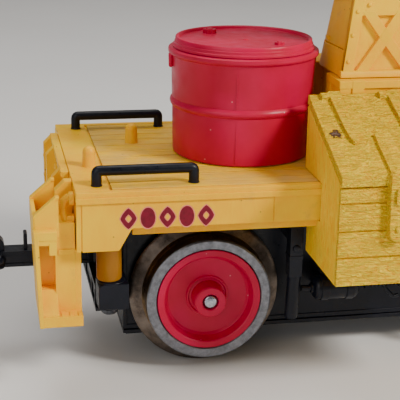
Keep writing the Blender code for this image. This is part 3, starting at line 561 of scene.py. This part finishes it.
def handrail(end, side):
    """Bent rod that stands along the deck's edge, on two small feet."""
    rail = Solid()
    low, high = 75.5, 110
    foot, top = DECK + 0.05, DECK + 5.4
    bend = 1
    y = SIGN[side] * 41
    arc = [math.pi / 2 * k / 4 for k in range(5)]
    route = [(high, foot)] + [(high - bend * (1 - math.cos(a)), top - bend * (1 - math.sin(a)))
                              for a in arc]
    route += [(low + bend * (1 - math.sin(a)), top - bend * (1 - math.cos(a))) for a in arc]
    route += [(low, foot)]
    rail.tube([(SIGN[end] * x, y, z) for x, z in route], 1.85, 24)
    for x in (high, low):
        rail.lathe([(0, DECK + 0.02), (2.05, DECK + 0.02), (2.05, DECK + 0.3), (1.8, DECK + 0.5),
                    (0, DECK + 0.5)], "Z", (SIGN[end] * x, y, 0), 24)
    name = f"handrail_{end}_{side}"
    rail.piece(f"{name}_rod", "black", (name,), bevel=0)


# ---- drums ----

def drum(side, turn):
    """Drum with two hoops and a seam, and a lid with a raised rim and two bungs."""
    centre = (-DRUM_X, 0, 0)
    low, hoop, waist, top = 78.85, 98.5, 117.2, 119
    body = Solid()
    outline = [(0, low), (26.2, low), (26.6, low + 0.3), (26.75, low + 1.2), (27, hoop - 2.3)]
    outline += [(27 + 0.95 * math.sin(math.pi * k / 8), hoop - 1.7 + 3.4 * k / 8) for k in range(9)]
    outline += [(27.15, hoop + 2.4), (27.45, waist - 1.1), (27.6, waist - 0.8), (28.15, waist - 0.5),
                (28.6, waist), (28.7, waist + 0.6), (28.6, top - 0.35), (28.1, top), (25, top),
                (25, top - 3), (0, top - 3)]
    body.lathe(outline, "Z", centre, 96)
    for out in (28, -28):
        body.lathe([(0, 111.6), (0.5, 111.7), (0.85, 112.3), (0.95, 117), (0, 117)], "Z",
                   (-DRUM_X + out, 0, 0), 20)
    for angle in (-107, 73):
        a = math.radians(angle)
        u, v = Vector((math.cos(a), math.sin(a), 0)), Vector((-math.sin(a), math.cos(a), 0))
        for out, half, start, end in ((27.05, 0.13, low + 1.5, hoop - 2.2),
                                      (27.5, 0.16, hoop + 2.3, waist - 2.8)):
            seam = [u * 26 + v * 0.16, u * out + v * half, u * out - v * half, u * 26 - v * 0.16]
            body.loft([p + Vector((-DRUM_X, 0, start)) for p in seam],
                      [p + Vector((-DRUM_X, 0, end)) for p in seam])
    body.piece(f"drum_shell_{side}", "drum", (f"drum_{side}_body",), turn, bevel=0, sharp=40)

    lid = Solid()
    cap = [(0, 117), (24, 117), (24, 119.2), (26.9, 119.2), (26.9, 120.1), (26.35, 120.4), (26.35, 121.3),
           (26.05, 121.5), (25.95, 122.7), (25.7, 123), (25, 123), (24.6, 122.6), (24.3, 121.85),
           (0, 121.85)]
    lid.lathe(cap, "Z", centre, 96)
    for dx, dy, radius, top in ((-10.2, 15.2, 2.4, 123.7), (10.6, -13, 1.7, 123.1)):
        cx, cy = -DRUM_X + dx, dy
        lobed = [(cx + radius * (1 + 0.13 * math.cos(6 * a)) * math.cos(a),
                  cy + radius * (1 + 0.13 * math.cos(6 * a)) * math.sin(a))
                 for a in (2 * math.pi * k / 48 for k in range(48))]
        inner = [(cx + (x - cx) * 0.55, cy + (y - cy) * 0.55) for x, y in lobed]
        lid.loft([(x, y, 121.5) for x, y in lobed], [(x, y, top - 0.3) for x, y in lobed])
        lid.loft([(x, y, top - 0.5) for x, y in inner], [(x, y, top) for x, y in inner])
    lid.lathe([(0, 121.6), (1.2, 121.6), (1.1, 122), (0.5, 122.2), (0, 122.2)], "Z",
              (-DRUM_X + 0.5, -1, 0), 20)
    lid.piece(f"drum_cap_{side}", "drum", (f"drum_{side}_lid",), turn, bevel=0.12, sharp=50)


# ---- tool boxes ----

def lid_top(y):
    """Height of the sloping lid at a distance from the car's middle."""
    return 87.5 + (106.2 - 87.5) / (72.8 - 28.8) * (72.8 - abs(y))


def sloped(solid, outline, low, high):
    """A prism that lies on the lid's slope: an (x, y) outline between two heights over it."""
    solid.loft([(x, y, lid_top(y) + low) for x, y in outline],
               [(x, y, lid_top(y) + high) for x, y in outline])


def tool_box(side, turn):
    """Planked box that hangs over the deck's edge, with its sloping lid, straps and hasps."""
    walls = Solid()
    under = [(-70.6, 48), (-34.2, 48), (-34.2, 64.5), (-50.4, 64.5), (-50.4, 78.8), (-29.2, 78.8),
             (-29.2, lid_top(29.2) - 3.9), (-70.6, lid_top(70.6) - 3.9)]
    for low, high in ((-31.3, -29.3), (29.3, 31.3)):
        walls.prism(under, "X", low, high)
    walls.box((-29.5, 29.5), (-71.2, -34.4), (48.05, 50))
    walls.box((-29.5, 29.5), (-36.2, -34.3), (48.1, 64.4))
    walls.box((-29.5, 29.5), (-52.4, -34.3), (62.5, 64.45))
    walls.box((-29.5, 29.5), (-52.4, -50.45), (62.6, 80.7))
    walls.box((-29.5, 29.5), (-52.4, -29.3), (78.85, 80.8))
    walls.box((-29.5, 29.5), (-31.2, -29.3), (78.9, lid_top(31.2) - 3.9))
    walls.box((-31.1, 31.1), (-71.2, -69.2), (48.05, lid_top(70.6) - 4.2))
    walls.piece(f"toolbox_walls_{side}", "box_up", (f"toolbox_{side}_body",), turn, bevel=0.2)

    planks = Solid()
    for low, high in ((48.1, 58.15), (58.65, 67.65), (68.15, 77.6), (78.1, 83.4)):
        planks.box((-31.35, 31.35), (-72, -70.4), (low, high))
    planks.piece(f"toolbox_planks_{side}", "box", turn=turn, bevel=0.3)

    lid = Solid()
    leaf = [(-72.2, lid_top(72.2) - 3.5), (-72.2, lid_top(72.2) - 0.6), (-29.1, lid_top(29.1) - 0.6),
            (-29.1, lid_top(29.1) - 3.5)]
    lid.prism(leaf, "X", -31.1, 31.1)
    for near, far in ((-72.8, -52.75), (-52.4, -41.5), (-41.15, -28.8)):
        board = [(near, lid_top(near) - 3.6 if near < -70 else lid_top(near) - 1.2), (near, lid_top(near)),
                 (far, lid_top(far)), (far, lid_top(far) - 3.6 if far > -31 else lid_top(far) - 1.2)]
        lid.prism(board, "X", -31.35, 31.35)
    lid.piece(f"toolbox_leaf_{side}", "lid", (f"toolbox_{side}_lid",), turn, f"lid_{side}", 0.3)

    straps = Solid()
    for x in (-22, 0, 22):
        strap = both_halves(x, [(2.3, -29.3), (2.1, -40), (1.75, -50), (1.3, -54.5), (0.6, -56.6)],
                            tip=(-57,))
        sloped(straps, strap, -0.8, 1.4)
        straps.box((x - 5.3, x - 1.9), (-32.6, -29.4), (103, 106.4))
        straps.tube([(x - 5.2, -30.4, 105.4), (x + 2.5, -30.4, 105.4)], 1.65, 24)
    for x in (-11, 11):
        sloped(straps, both_halves(x, [(2.9, -52.5), (3.2, -60), (3.2, -72.9)]), -0.8, 1.2)
        front = both_halves(0, [(3.4, 88.6), (3.3, 80), (2.9, 67), (2, 65), (0.7, 64.3)])
        straps.loft([(x + 1.2 * u, -72.1, v - 0.3) for u, v in front],
                    [(x + u, -74.5, v) for u, v in front])
        straps.prism(round_corners(3, 6, 1.2, (x, 80.7)), "Y", -75.3, -74.3)
        straps.lathe([(0, -75.2), (0.8, -75.1), (1.1, -74.7), (1.1, -74.3), (0, -74.3)],
                     "Y", (x, 0, 69), 16)
    straps.piece(f"toolbox_straps_{side}", "box", turn=turn, body=f"lid_{side}")


# ---- tower and platform ----

FOOT_Z, HEAD_Z = 110.8, 156.5


def tower_half(z):
    """Half the tower's width at a height."""
    return 17 + (z - FOOT_Z) / (HEAD_Z - FOOT_Z) * (9.3 - 17)


def tower_front(z):
    """How far the tower's front stands out at a height."""
    return 23 + (z - FOOT_Z) / (HEAD_Z - FOOT_Z) * (15.8 - 23)


def d_plan(z, half, front, steps=24):
    """The tower's plan at a height: flat in front, round at the back."""
    arc = [math.pi * k / steps for k in range(steps + 1)]
    round_back = [((half + 1.2) * math.cos(a), (half + 1.2) * math.sin(a), z) for a in arc]
    return [(-half, -front, z), (half, -front, z)] + round_back


def on_front(solid, outline, back, proud):
    """A plate on the tower's sloping front: an (x, z) outline between two depths."""
    solid.loft([(x, -tower_front(z) + back, z) for x, z in outline],
               [(x, -tower_front(z) - proud, z) for x, z in outline])


def tower_bench():
    """The two ribbed blocks that carry the tower."""
    base = Solid()
    for turn in (1, -1):
        base.box((-18.7, 18.7), span(turn, -27.3, -11), (78.85, 110))
        base.box((-19.3, 19.3), span(turn, -28, -10.9), (107.6, 110.5))
        base.box((-19.3, 19.3), span(turn, -28, -10.9), (78.8, 82))
        for end in (-1, 1):
            base.box(span(end, 14.8, 19.15), span(turn, -27.85, -23), (78.9, 110.35))
            base.box(span(end, 9.8, 14.4), span(turn, -28.15, -24), (78.95, 110.65))
            base.box(span(end, 17.4, 19.2), span(turn, -15.5, -11.1), (79, 110.3))
    base.box((-14, 14), (-12, 12), (78.85, 110.4))
    base.piece("tower_bench", "yellow", ("tower_base",))


def tower():
    """Tapered tower with corner posts, crossed braces, a plinth and rivets."""
    shell = Solid()
    shell.loft(d_plan(FOOT_Z, 15.6, 21), d_plan(HEAD_Z - 0.4, 8.2, 14))
    shell.loft(d_plan(FOOT_Z, 17, 20.6), d_plan(120.2, tower_half(120.2), 19.2))
    shell.loft(d_plan(120.4, tower_half(120.4) - 0.3, 19.2), d_plan(HEAD_Z - 3, 9.5, 14.6))
    shell.loft(d_plan(HEAD_Z - 3.2, 10, 16.4), d_plan(HEAD_Z, 9.6, 16))
    for end in (-1, 1):
        foot, head = tower_half(FOOT_Z), tower_half(HEAD_Z)
        for wide, back, proud in ((4.1, 3, 0), (1.2, 3.6, -0.2)):
            post = [(foot, FOOT_Z), (head, HEAD_Z), (head - wide, HEAD_Z), (foot - wide, FOOT_Z)]
            on_front(shell, signed(end, post), back, proud)
        brace = [(9.25, 134.6), (4.35, 134.6), (-2.45, 125.1), (-13.15, 110.9), (-8.25, 110.9),
                 (2.45, 125.1)]
        on_front(shell, signed(end, brace), 3, -0.15 + 0.05 * end)
        for z in (122, 138, 150):
            rim = tower_half(z) + 1.5
            shell.box(span(end, rim - 1.6, rim), (-1.5, 1.5), (z - 0.8, z + 0.8))
    half = tower_half(133) - 3
    header = [(-half, 133), (half, 133), (tower_half(HEAD_Z) - 3, HEAD_Z - 0.1),
              (-tower_half(HEAD_Z) + 3, HEAD_Z - 0.1)]
    on_front(shell, header, 3, -0.3)
    on_front(shell, [(-16, FOOT_Z), (16, FOOT_Z), (15.8, 113.2), (-15.8, 113.2)], 3, -0.1)
    plinth = [(-23.7, FOOT_Z), (-23.45, 112.6), (-22.85, 113.25), (-20, 113.25), (-20, FOOT_Z)]
    shell.prism(plinth, "X", -17.6, 17.6)
    for out, z in ((6.4, 136.9), (11, 134.5), (6, 150.5), (12.9, 126), (14.6, 116.5)):
        y = -tower_front(z)
        for x in (-out, out):
            shell.lathe([(0, y - 0.55), (0.5, y - 0.5), (0.85, y - 0.1), (0.9, y + 1.5), (0, y + 1.5)],
                        "Y", (x, 0, z), 20)
    shell.piece("tower_braced_shell", "yellow", ("tower_shell",))


def swivel():
    """Two stacked rings with a groove between them, on the tower's head."""
    ring = Solid()
    ring.lathe([(3, 156.8), (12.6, 156.8), (13, 157.2), (13, 158), (12.3, 158.4), (13, 158.8), (13, 159.6),
                (12.6, 160), (3, 160)], "Z", (0, 0, 0), 64)
    for k in range(12):
        a = 2 * math.pi * k / 12
        ring.lathe([(0, 156.75), (0.7, 156.75), (0.7, 156.9), (0, 156.9)], "Z",
                   (10.6 * math.cos(a), 10.6 * math.sin(a), 0), 12)
    ring.piece("swivel_bearing", "black", ("swivel_ring",), bevel=0)


def platform():
    """Boards round the swivel's pin, their edging and joists, and the railing."""
    boards = Solid()
    for k in range(9):
        low = -30 + 6.6667 * k
        middle_board = abs(low + 3.33) <= 3.4
        for start, end in ((-35.9, -4), (4, 35.9)) if middle_board else ((-35.9, 35.9),):
            boards.box((start, end), (low + 0.15, low + 6.5), (161.5, 163.3))
    boards.piece("platform_boards", "planks", ("work_platform",), body="platform", bevel=0.2)

    edging = Solid()
    edging.box((-36, -34.2), (-30, 30), (160.3, 163.25))
    edging.box((34.2, 36), (-30, 30), (160.3, 163.25))
    edging.box((-34.4, 34.4), (-30, -28.2), (160.35, 163.2))
    edging.box((-34.4, 34.4), (28.2, 30), (160.35, 163.2))
    edging.lathe([(2.8, 160.35), (9, 160.35), (9, 162.6), (4.6, 162.9), (4.6, 163.25), (2.8, 163.25)], "Z",
                 (0, 0, 0), 48)
    for x in (-22, -11, 11, 22):
        edging.box((x - 0.8, x + 0.8), (-28.6, 28.6), (160.5, 161.9))
    edging.piece("platform_frame", "yellow", body="platform", bevel=0.2)

    rail = Solid()
    corner = 2.6
    top = [(-34.5 + corner, -28.5), (34.5 - corner, -28.5), (34.5, -28.5 + corner), (34.5, 28.5 - corner),
           (34.5 - corner, 28.5), (-34.5 + corner, 28.5), (-34.5, 28.5 - corner), (-34.5, -28.5 + corner),
           (-34.5 + corner, -28.5)]
    rounded = []
    for (x1, y1), (x2, y2) in zip(top, top[1:]):
        rounded += [(x1 + (x2 - x1) * t, y1 + (y2 - y1) * t) for t in (0, 0.06, 0.94)]
    rail.tube([(x, y, 192.4) for x, y in rounded + rounded[:2]], 1.2, 16)
    posts = [(x, y) for x in (-11.5, 11.5) for y in (-28.5, 28.5)]
    posts += [(x, y) for x in (-33.6, 33.6) for y in (-27.6, 27.6)] + [(-34.5, 0), (34.5, 0)]
    for x, y in posts:
        rail.lathe([(0, 163.6), (2, 163.6), (2, 164.3), (1.1, 164.9), (1.05, 192), (0, 192)], "Z",
                   (x, y, 0), 20)
    rail.piece("platform_hand_rail", "black", ("platform_railing",), body="platform", bevel=0)

    middle = Solid()
    for y in (-26.2, 26.2):
        middle.tube([(-32.4, y, 178.6), (32.4, y, 178.6)], 0.95, 16)
    for x in (-32, 32):
        middle.tube([(x, -26.6, 178.6), (x, 26.6, 178.6)], 0.95, 16)
    middle.piece("platform_middle_bars", "black", ("platform_middle_rail",), body="platform", bevel=0)


# ---- underframe ----

def gearbox():
    """Tub that holds the drive, with its axle bushes, and the screwed cover under it."""
    tub = Solid()
    for side in (-1, 1):
        tub.prism([(-98, 13.4), (-98, 58), (98, 58), (98, 13.4)], "Y", side * 16.3, side * 17.9)
        for x in (-97.2, 97.2):
            tub.box((x - 0.8, x + 0.8), span(side, 17, 18.3), (14, 57))
        for z in (13.4, 56):
            tub.box((-98, 98), span(side, 17, 18.25), (z, z + 1.9))
        for x in (-AXLE_X, AXLE_X):
            tub.lathe([(3, side * 17), (7, side * 17), (7, side * 18.6), (6.2, side * 19.2),
                       (3, side * 19.2)], "Y", (x, 0, AXLE_Z), 32)
    tub.box((-98, 98), (-17, 17), (56, 57.95))
    for x in (-97, 97):
        tub.box((x - 1, x + 1), (-17, 17), (13.45, 57))
        tub.box((x - 1.1, x + 1.1), (-9, 9), (30, 44))
    tub.piece("gearbox_tub", "black", ("chassis_frame",), bevel=0.3)

    cover = Solid()
    cover.box((-98, 30.8), (-18.3, 18.3), (11.6, 13))
    cover.box((41.2, 98), (-18.3, 18.3), (11.6, 13))
    for side in (-1, 1):
        cover.box((30.6, 41.4), span(side, 2.9, 18.3), (11.6, 13))
        cover.box((-97, 97), span(side, 16, 17.6), (11, 12))
    for x in (-96, -46, -6, 60, 96):
        cover.box((x - 0.8, x + 0.8), (-17, 17), (11.05, 12))
    for x in (-88, -26, 20, 88):
        cover.lathe([(2, 11), (4.2, 11), (4.2, 12.2), (2, 12.2)], "Z", (x, 0, 0), 32)
    cover.piece("gearbox_cover", "black", ("bottom_cover",), bevel=0.2)

    screws = Solid()
    for x in (-88, -26, 20, 88):
        for long, wide in ((0.35, 1.7), (1.7, 0.35)):
            screws.box((x - long, x + long), (-wide, wide), (11, 11.25))
        screws.lathe([(0, 11.15), (1.9, 11.15), (1.9, 12), (0, 12)], "Z", (x, 0, 0), 24)
    screws.piece("cover_screws", "steel", bevel=0)


def bolster(side, turn):
    """Cross beam with ribs, and a lug under each of the deck's bosses."""
    beam = Solid()
    beam.box((-108.9, -98.4), (-28.6, 28.6), (27, 34.8))
    beam.box((-109.6, -98.3), (-29, 29), (33.9, 35.5))
    beam.box((-109.6, -98.3), (-28.9, 28.9), (26, 27.6))
    for sign in (-1, 1):
        y = sign * BOSS_Y
        lug = [(-109.4, 31), (-98.5, 31), (-98.5, 40.6), (-107.4, 40.6), (-108.6, 40.2), (-109.4, 39.3)]
        beam.prism(lug, "Y", *span(sign, 28.3, 39.9))
        beam.lathe([(3.6, 30.5), (4.4, 30.5), (4.8, 31), (4.8, 33), (3.6, 33)], "Z", (-104.6, y, 0), 32)
        beam.lathe([(1.2, 40), (5, 40), (5, 40.9), (4.2, 41.3), (1.2, 41.3)], "Z", (-104.3, y, 0), 32)
    for y in (-24, -12, 12, 24):
        beam.box((-109.5, -98.4), (y - 0.7, y + 0.7), (26.1, 35.3))
    beam.piece(f"bolster_ribbed_{side}", "black", (f"bolster_{side}",), turn)


def coupler(side, turn):
    """Drawbar with its loop and the raised head over it."""
    hook = Solid()
    hook.box((-143.2, -107), (-3.6, 3.6), (36.3, 41.7))
    hook.box((-143, -107.5), (-4, 4), (35.8, 37.4))
    hook.box((-143, -107.5), (-4, 4), (40.6, 42.2))
    hook.lathe([(2.4, 35.9), (5.4, 35.9), (5.4, 42.1), (2.4, 42.1)], "Z", (-COUPLER_X, 0, 0), 40)
    hook.box((-110, -106), (-3.9, 3.9), (36, 42))
    loop = [(-143, -9.4), (-146, -11.6), (-150.4, -11.6), (-153, -8), (-153.2, 0), (-153, 8),
            (-150.4, 11.6), (-146, 11.6), (-143, 9.4), (-142.3, 0)]
    hook.tube([(x, y, 38.7) for x, y in loop + loop[:2]], 1.3, 12)
    hook.prism(round_corners(10.6, 7.6, 3.2, (-147, 43.6)), "Y", -2.6, 2.6)
    hook.prism(round_corners(1.4, 8, 0.5, (-133.6, 44.7)), "Y", -2.5, 2.5)
    hook.piece(f"coupler_drawbar_{side}", "black", (f"coupler_{side}",), turn, f"coupler_{side}_arm",
               bevel=0.3)


def coupler_pin(side, turn):
    """Headed pin that a coupler swings on."""
    pin = Solid()
    pin.lathe([(0, 27), (2, 27), (2, 42.5), (4, 42.55), (4.2, 42.9), (4.1, 43.8), (3.2, 44.4), (0, 44.6)],
              "Z", (-COUPLER_X, 0, 0), 32)
    pin.piece(f"coupler_pivot_{side}", "steel", (f"coupler_{side}_pin",), turn, bevel=0)


def brake_post(end, side):
    """Post with a round arm that carries the brake shoe beside a wheel."""
    post = Solid()
    for x, y, z in (((32, 37), (28, 33.6), (37, 57.2)), ((32.4, 36.6), (18.6, 30), (50, 56)),
                    ((31.8, 37.2), (27.8, 33.8), (44, 45.6))):
        post.box(span(SIGN[end], *x), span(SIGN[side], *y), z)
    arm = ((34, 40), (34.2, 38.6), (34.9, 21), (34.9, 19.6))
    post.tube([(SIGN[end] * x, SIGN[side] * 30.8, z) for x, z in arm], [2.2, 2.6, 2.6, 2.3], 28)
    head = ((0, 33), (1.5, 33), (1.5, 34), (1.1, 34.2), (0, 34.2))
    post.lathe([(radius, SIGN[side] * y) for radius, y in head], "Y", (SIGN[end] * 34.5, 0, 48.5), 20)
    post.piece(f"brake_post_{end}_{side}", "black", (f"brake_hanger_{end}_{side}",))


def brake_cylinder(side, turn):
    """Air cylinder with two straps, and its push rod with a ribbed sleeve and lever."""
    tank = Solid()
    tank.lathe([(0, -31.2), (1.2, -31.2), (1.2, -27.6), (2, -27.4), (2, -26.6), (3.6, -26.3), (4.5, -25.4),
                (4.7, -24.6), (4.7, -11), (4.4, -9.9), (3.4, -9), (1.6, -8.6), (0, -8.5)], "X",
               (0, -30, 31), 40)
    for x in (-24, -14):
        tank.box((x, x + 3), (-27, -18.6), (28.5, 33.5))
        tank.lathe([(4.5, x), (5.05, x), (5.05, x + 3), (4.5, x + 3)], "X", (0, -30, 31), 40)
    tank.piece(f"brake_cylinder_{side}", "black", (f"air_tank_{side}",), turn, bevel=0.15)

    lever = Solid()
    lever.box((-4.4, -2.2), (-27.4, -18), (28, 34))
    for k in range(7):
        low, high = 1.5 * k, 1.5 * k + 0.8
        lever.lathe([(1.9, low), (2.6, low), (2.6, high), (1.9, high)], "X", (-2.2, -27, 31.5), 24)
    lever.tube([(-4.6, -27, 31.5), (11, -27, 31.5)], 1, 16)
    lever.tube([(2, -27.2, 31), (4.4, -27.4, 27), (7.2, -27.4, 24.4), (9.4, -27.2, 24.6)], 0.8, 12)
    lever.box((9, 11.4), (-28.6, -18), (28.6, 34))
    lever.piece(f"brake_lever_{side}", "black", turn=turn, bevel=0.15)


def deck_screws():
    """The screws that hold the deck's bosses to the bolsters."""
    for number, (x, y) in enumerate(((-1, -1), (-1, 1), (1, -1), (1, 1)), 1):
        screw = Solid()
        screw.lathe([(0, 29), (0.5, 28.9), (0.7, 28.2), (2.6, 28.1), (3.2, 28.8), (3.4, 30), (1.55, 30.3),
                     (1.55, 51.6), (0, 53)], "Z", (x * BOSS_X, y * BOSS_Y, 0), 32)
        screw.piece(f"deck_screw_{number}", "dark", (f"chassis_screw_{number}",), bevel=0)


# ---- wheels ----

def wheel(end, side):
    """Tyre in three turned parts, and the dished centre with its hub."""
    tag = f"{end}_{side}"

    def turned(name, profile, finish, nodes=()):
        """A turned part of the wheel: its profile is (radius, distance from the middle)."""
        solid = Solid()
        solid.lathe([(r, SIGN[side] * out) for r, out in profile],
                    "Y", (SIGN[end] * AXLE_X, 0, AXLE_Z), 96)
        solid.piece(f"{name}_{tag}", finish, nodes, body=f"wheelset_{end}", bevel=0, sharp=28)

    turned("tyre_rim", [(19.95, 22.6), (19.95, 31), (20.25, 31.35), (23.2, 31.35), (23.7, 31), (23.75, 30),
                        (23.75, 22.6)], "rim", (f"wheel_tyre_{tag}",))
    turned("tyre_tread", [(21, 22), (21, 30.3), (23.78, 30.3), (24.02, 26.2), (24.02, 25.9), (24.16, 25.7),
                          (24.3, 23), (25, 22)], "tread")
    # Painted shade: the flange takes the darker copy of the tread's metal.
    turned("tyre_flange", [(20.6, 20), (20.6, 22.4), (24.2, 22.9), (25.6, 22.3), (27.6, 21.5),
                           (28.5, 21.2), (28.95, 20.8), (29, 20.4), (28.7, 20.1), (28, 20)], "flange")
    dish = [(17, 24.6), (19.7, 24.6), (19.7, 31.1), (19.5, 31.3), (17.4, 31.3), (17, 31), (16.6, 29.4),
            (16, 27.7), (15.1, 26.9), (13.6, 26.6), (8.2, 26.6), (7.9, 27.3), (7.4, 27.4), (7, 26.9),
            (6.3, 27.2), (6, 33.7), (5.6, 34.2), (3.5, 34.2), (3.1, 33.9), (3, 31.6), (2.6, 31.6),
            (2.6, 20.4), (8, 20.4), (9, 24.6)]
    turned("wheel_dish", dish, "wheel", (f"wheel_centre_{tag}",))


def axle(end):
    rod = Solid()
    rod.lathe([(0, -33.8), (2.1, -33.8), (2.5, -33.4), (2.5, 33.4), (2.1, 33.8), (0, 33.8)], "Y",
              (SIGN[end] * AXLE_X, 0, AXLE_Z), 40)
    rod.piece(f"axle_rod_{end}", "steel", (f"axle_{end}",), body=f"wheelset_{end}", bevel=0, sharp=50)


deck()
for side, turn in SIDES:
    ornaments(side, turn)
    tool_box(side, turn)
for end, turn in ENDS:
    end_beam(end, turn)
    corner_step(end, turn)
    drum(end, turn)
for end, _ in ENDS:
    for side, _ in SIDES:
        handrail(end, side)
        wheel(end, side)
    axle(end)
tower_bench()
tower()
swivel()
platform()
gearbox()
for end, turn in ENDS:
    bolster(end, turn)
    coupler(end, turn)
    for side, _ in SIDES:
        brake_post(end, side)
for side, turn in SIDES:
    brake_cylinder(side, turn)
deck_screws()
for end, turn in ENDS:
    coupler_pin(end, turn)

# The drive, the switch and the swivel's pin keep their own shapes and take a finish.
INNER = {"steel": ("motor_can", "motor_shaft", "swivel_pin"), "brass": ("worm_left", "worm_right"),
         "nylon": ("worm_gear_left", "worm_gear_right", "power_switch"), "board": ("circuit_board",)}
for finish, names in INNER.items():
    for name in names:
        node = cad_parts[name]
        for place in node.material_slots:
            place.material = M[finish]


# ---- studio ----

def floor():
    """Pale floor that curves up into a wall behind the car."""
    made = Finish("pale_floor", roughness=0.62)
    made.shade("Base Color", made.ramp(made.noise(0.004, detail=3), (0.3, (0.72, 0.72, 0.73)),
                                       (0.7, (0.76, 0.76, 0.77))))
    made.shade("Normal", made.bump(made.noise(0.8, detail=3), 0.02, 0.3))
    profile = [(-3.0, 0.0), (1.6, 0.0)]
    profile += [(1.6 + 0.8 * math.sin(a), 0.8 - 0.8 * math.cos(a))
                for a in (math.pi / 2 * k / 16 for k in range(1, 17))]
    profile += [(2.4, 3.0)]
    mesh = bpy.data.meshes.new("studio_floor")
    verts = [(x, y, z) for y, z in profile for x in (-4.0, 4.0)]
    faces = [(2 * i, 2 * i + 1, 2 * i + 3, 2 * i + 2) for i in range(len(profile) - 1)]
    mesh.from_pydata(verts, [], faces)
    mesh.materials.append(made.material)
    mesh.shade_smooth()
    sweep = bpy.data.objects.new("studio_floor", mesh)
    bpy.context.scene.collection.objects.link(sweep)


def lamp(name, place, target, size, power, colour):
    """A round soft light aimed at a point."""
    light = bpy.data.lights.new(name, "AREA")
    light.shape = "DISK"
    light.size = size
    light.energy = power
    light.color = colour
    made = bpy.data.objects.new(name, light)
    made.location = place
    made.rotation_euler = (Vector(target) - Vector(place)).to_track_quat("-Z", "Y").to_euler()
    bpy.context.scene.collection.objects.link(made)


floor()
lamp("key", (0.75, -0.70, 0.85), (-0.03, 0.0, 0.07), 0.30, 18.5, (1.0, 0.95, 0.86))
lamp("fill", (-0.85, -0.85, 0.65), (-0.03, 0.0, 0.05), 1.1, 5.5, (1.0, 0.97, 0.92))
lamp("overhead", (-0.1, 0.25, 1.15), (-0.03, 0.0, 0.05), 0.9, 7.0, (1.0, 0.97, 0.92))
world = bpy.data.worlds.new("studio")
world.use_nodes = True
glow = world.node_tree.nodes["Background"]
glow.inputs["Color"].default_value = (1.0, 0.97, 0.93, 1.0)
glow.inputs["Strength"].default_value = 0.20
bpy.context.scene.world = world

lens = bpy.data.cameras.new("photo_view")
lens.lens = 104.41
lens.sensor_width = 36.0
camera = bpy.data.objects.new("photo_view", lens)
camera.location = (-0.149497, -0.427005, 0.196735)
camera.rotation_euler = [math.radians(angle) for angle in (72.36557, -0.92362, -10.89084)]
bpy.context.scene.collection.objects.link(camera)
bpy.context.scene.camera = camera
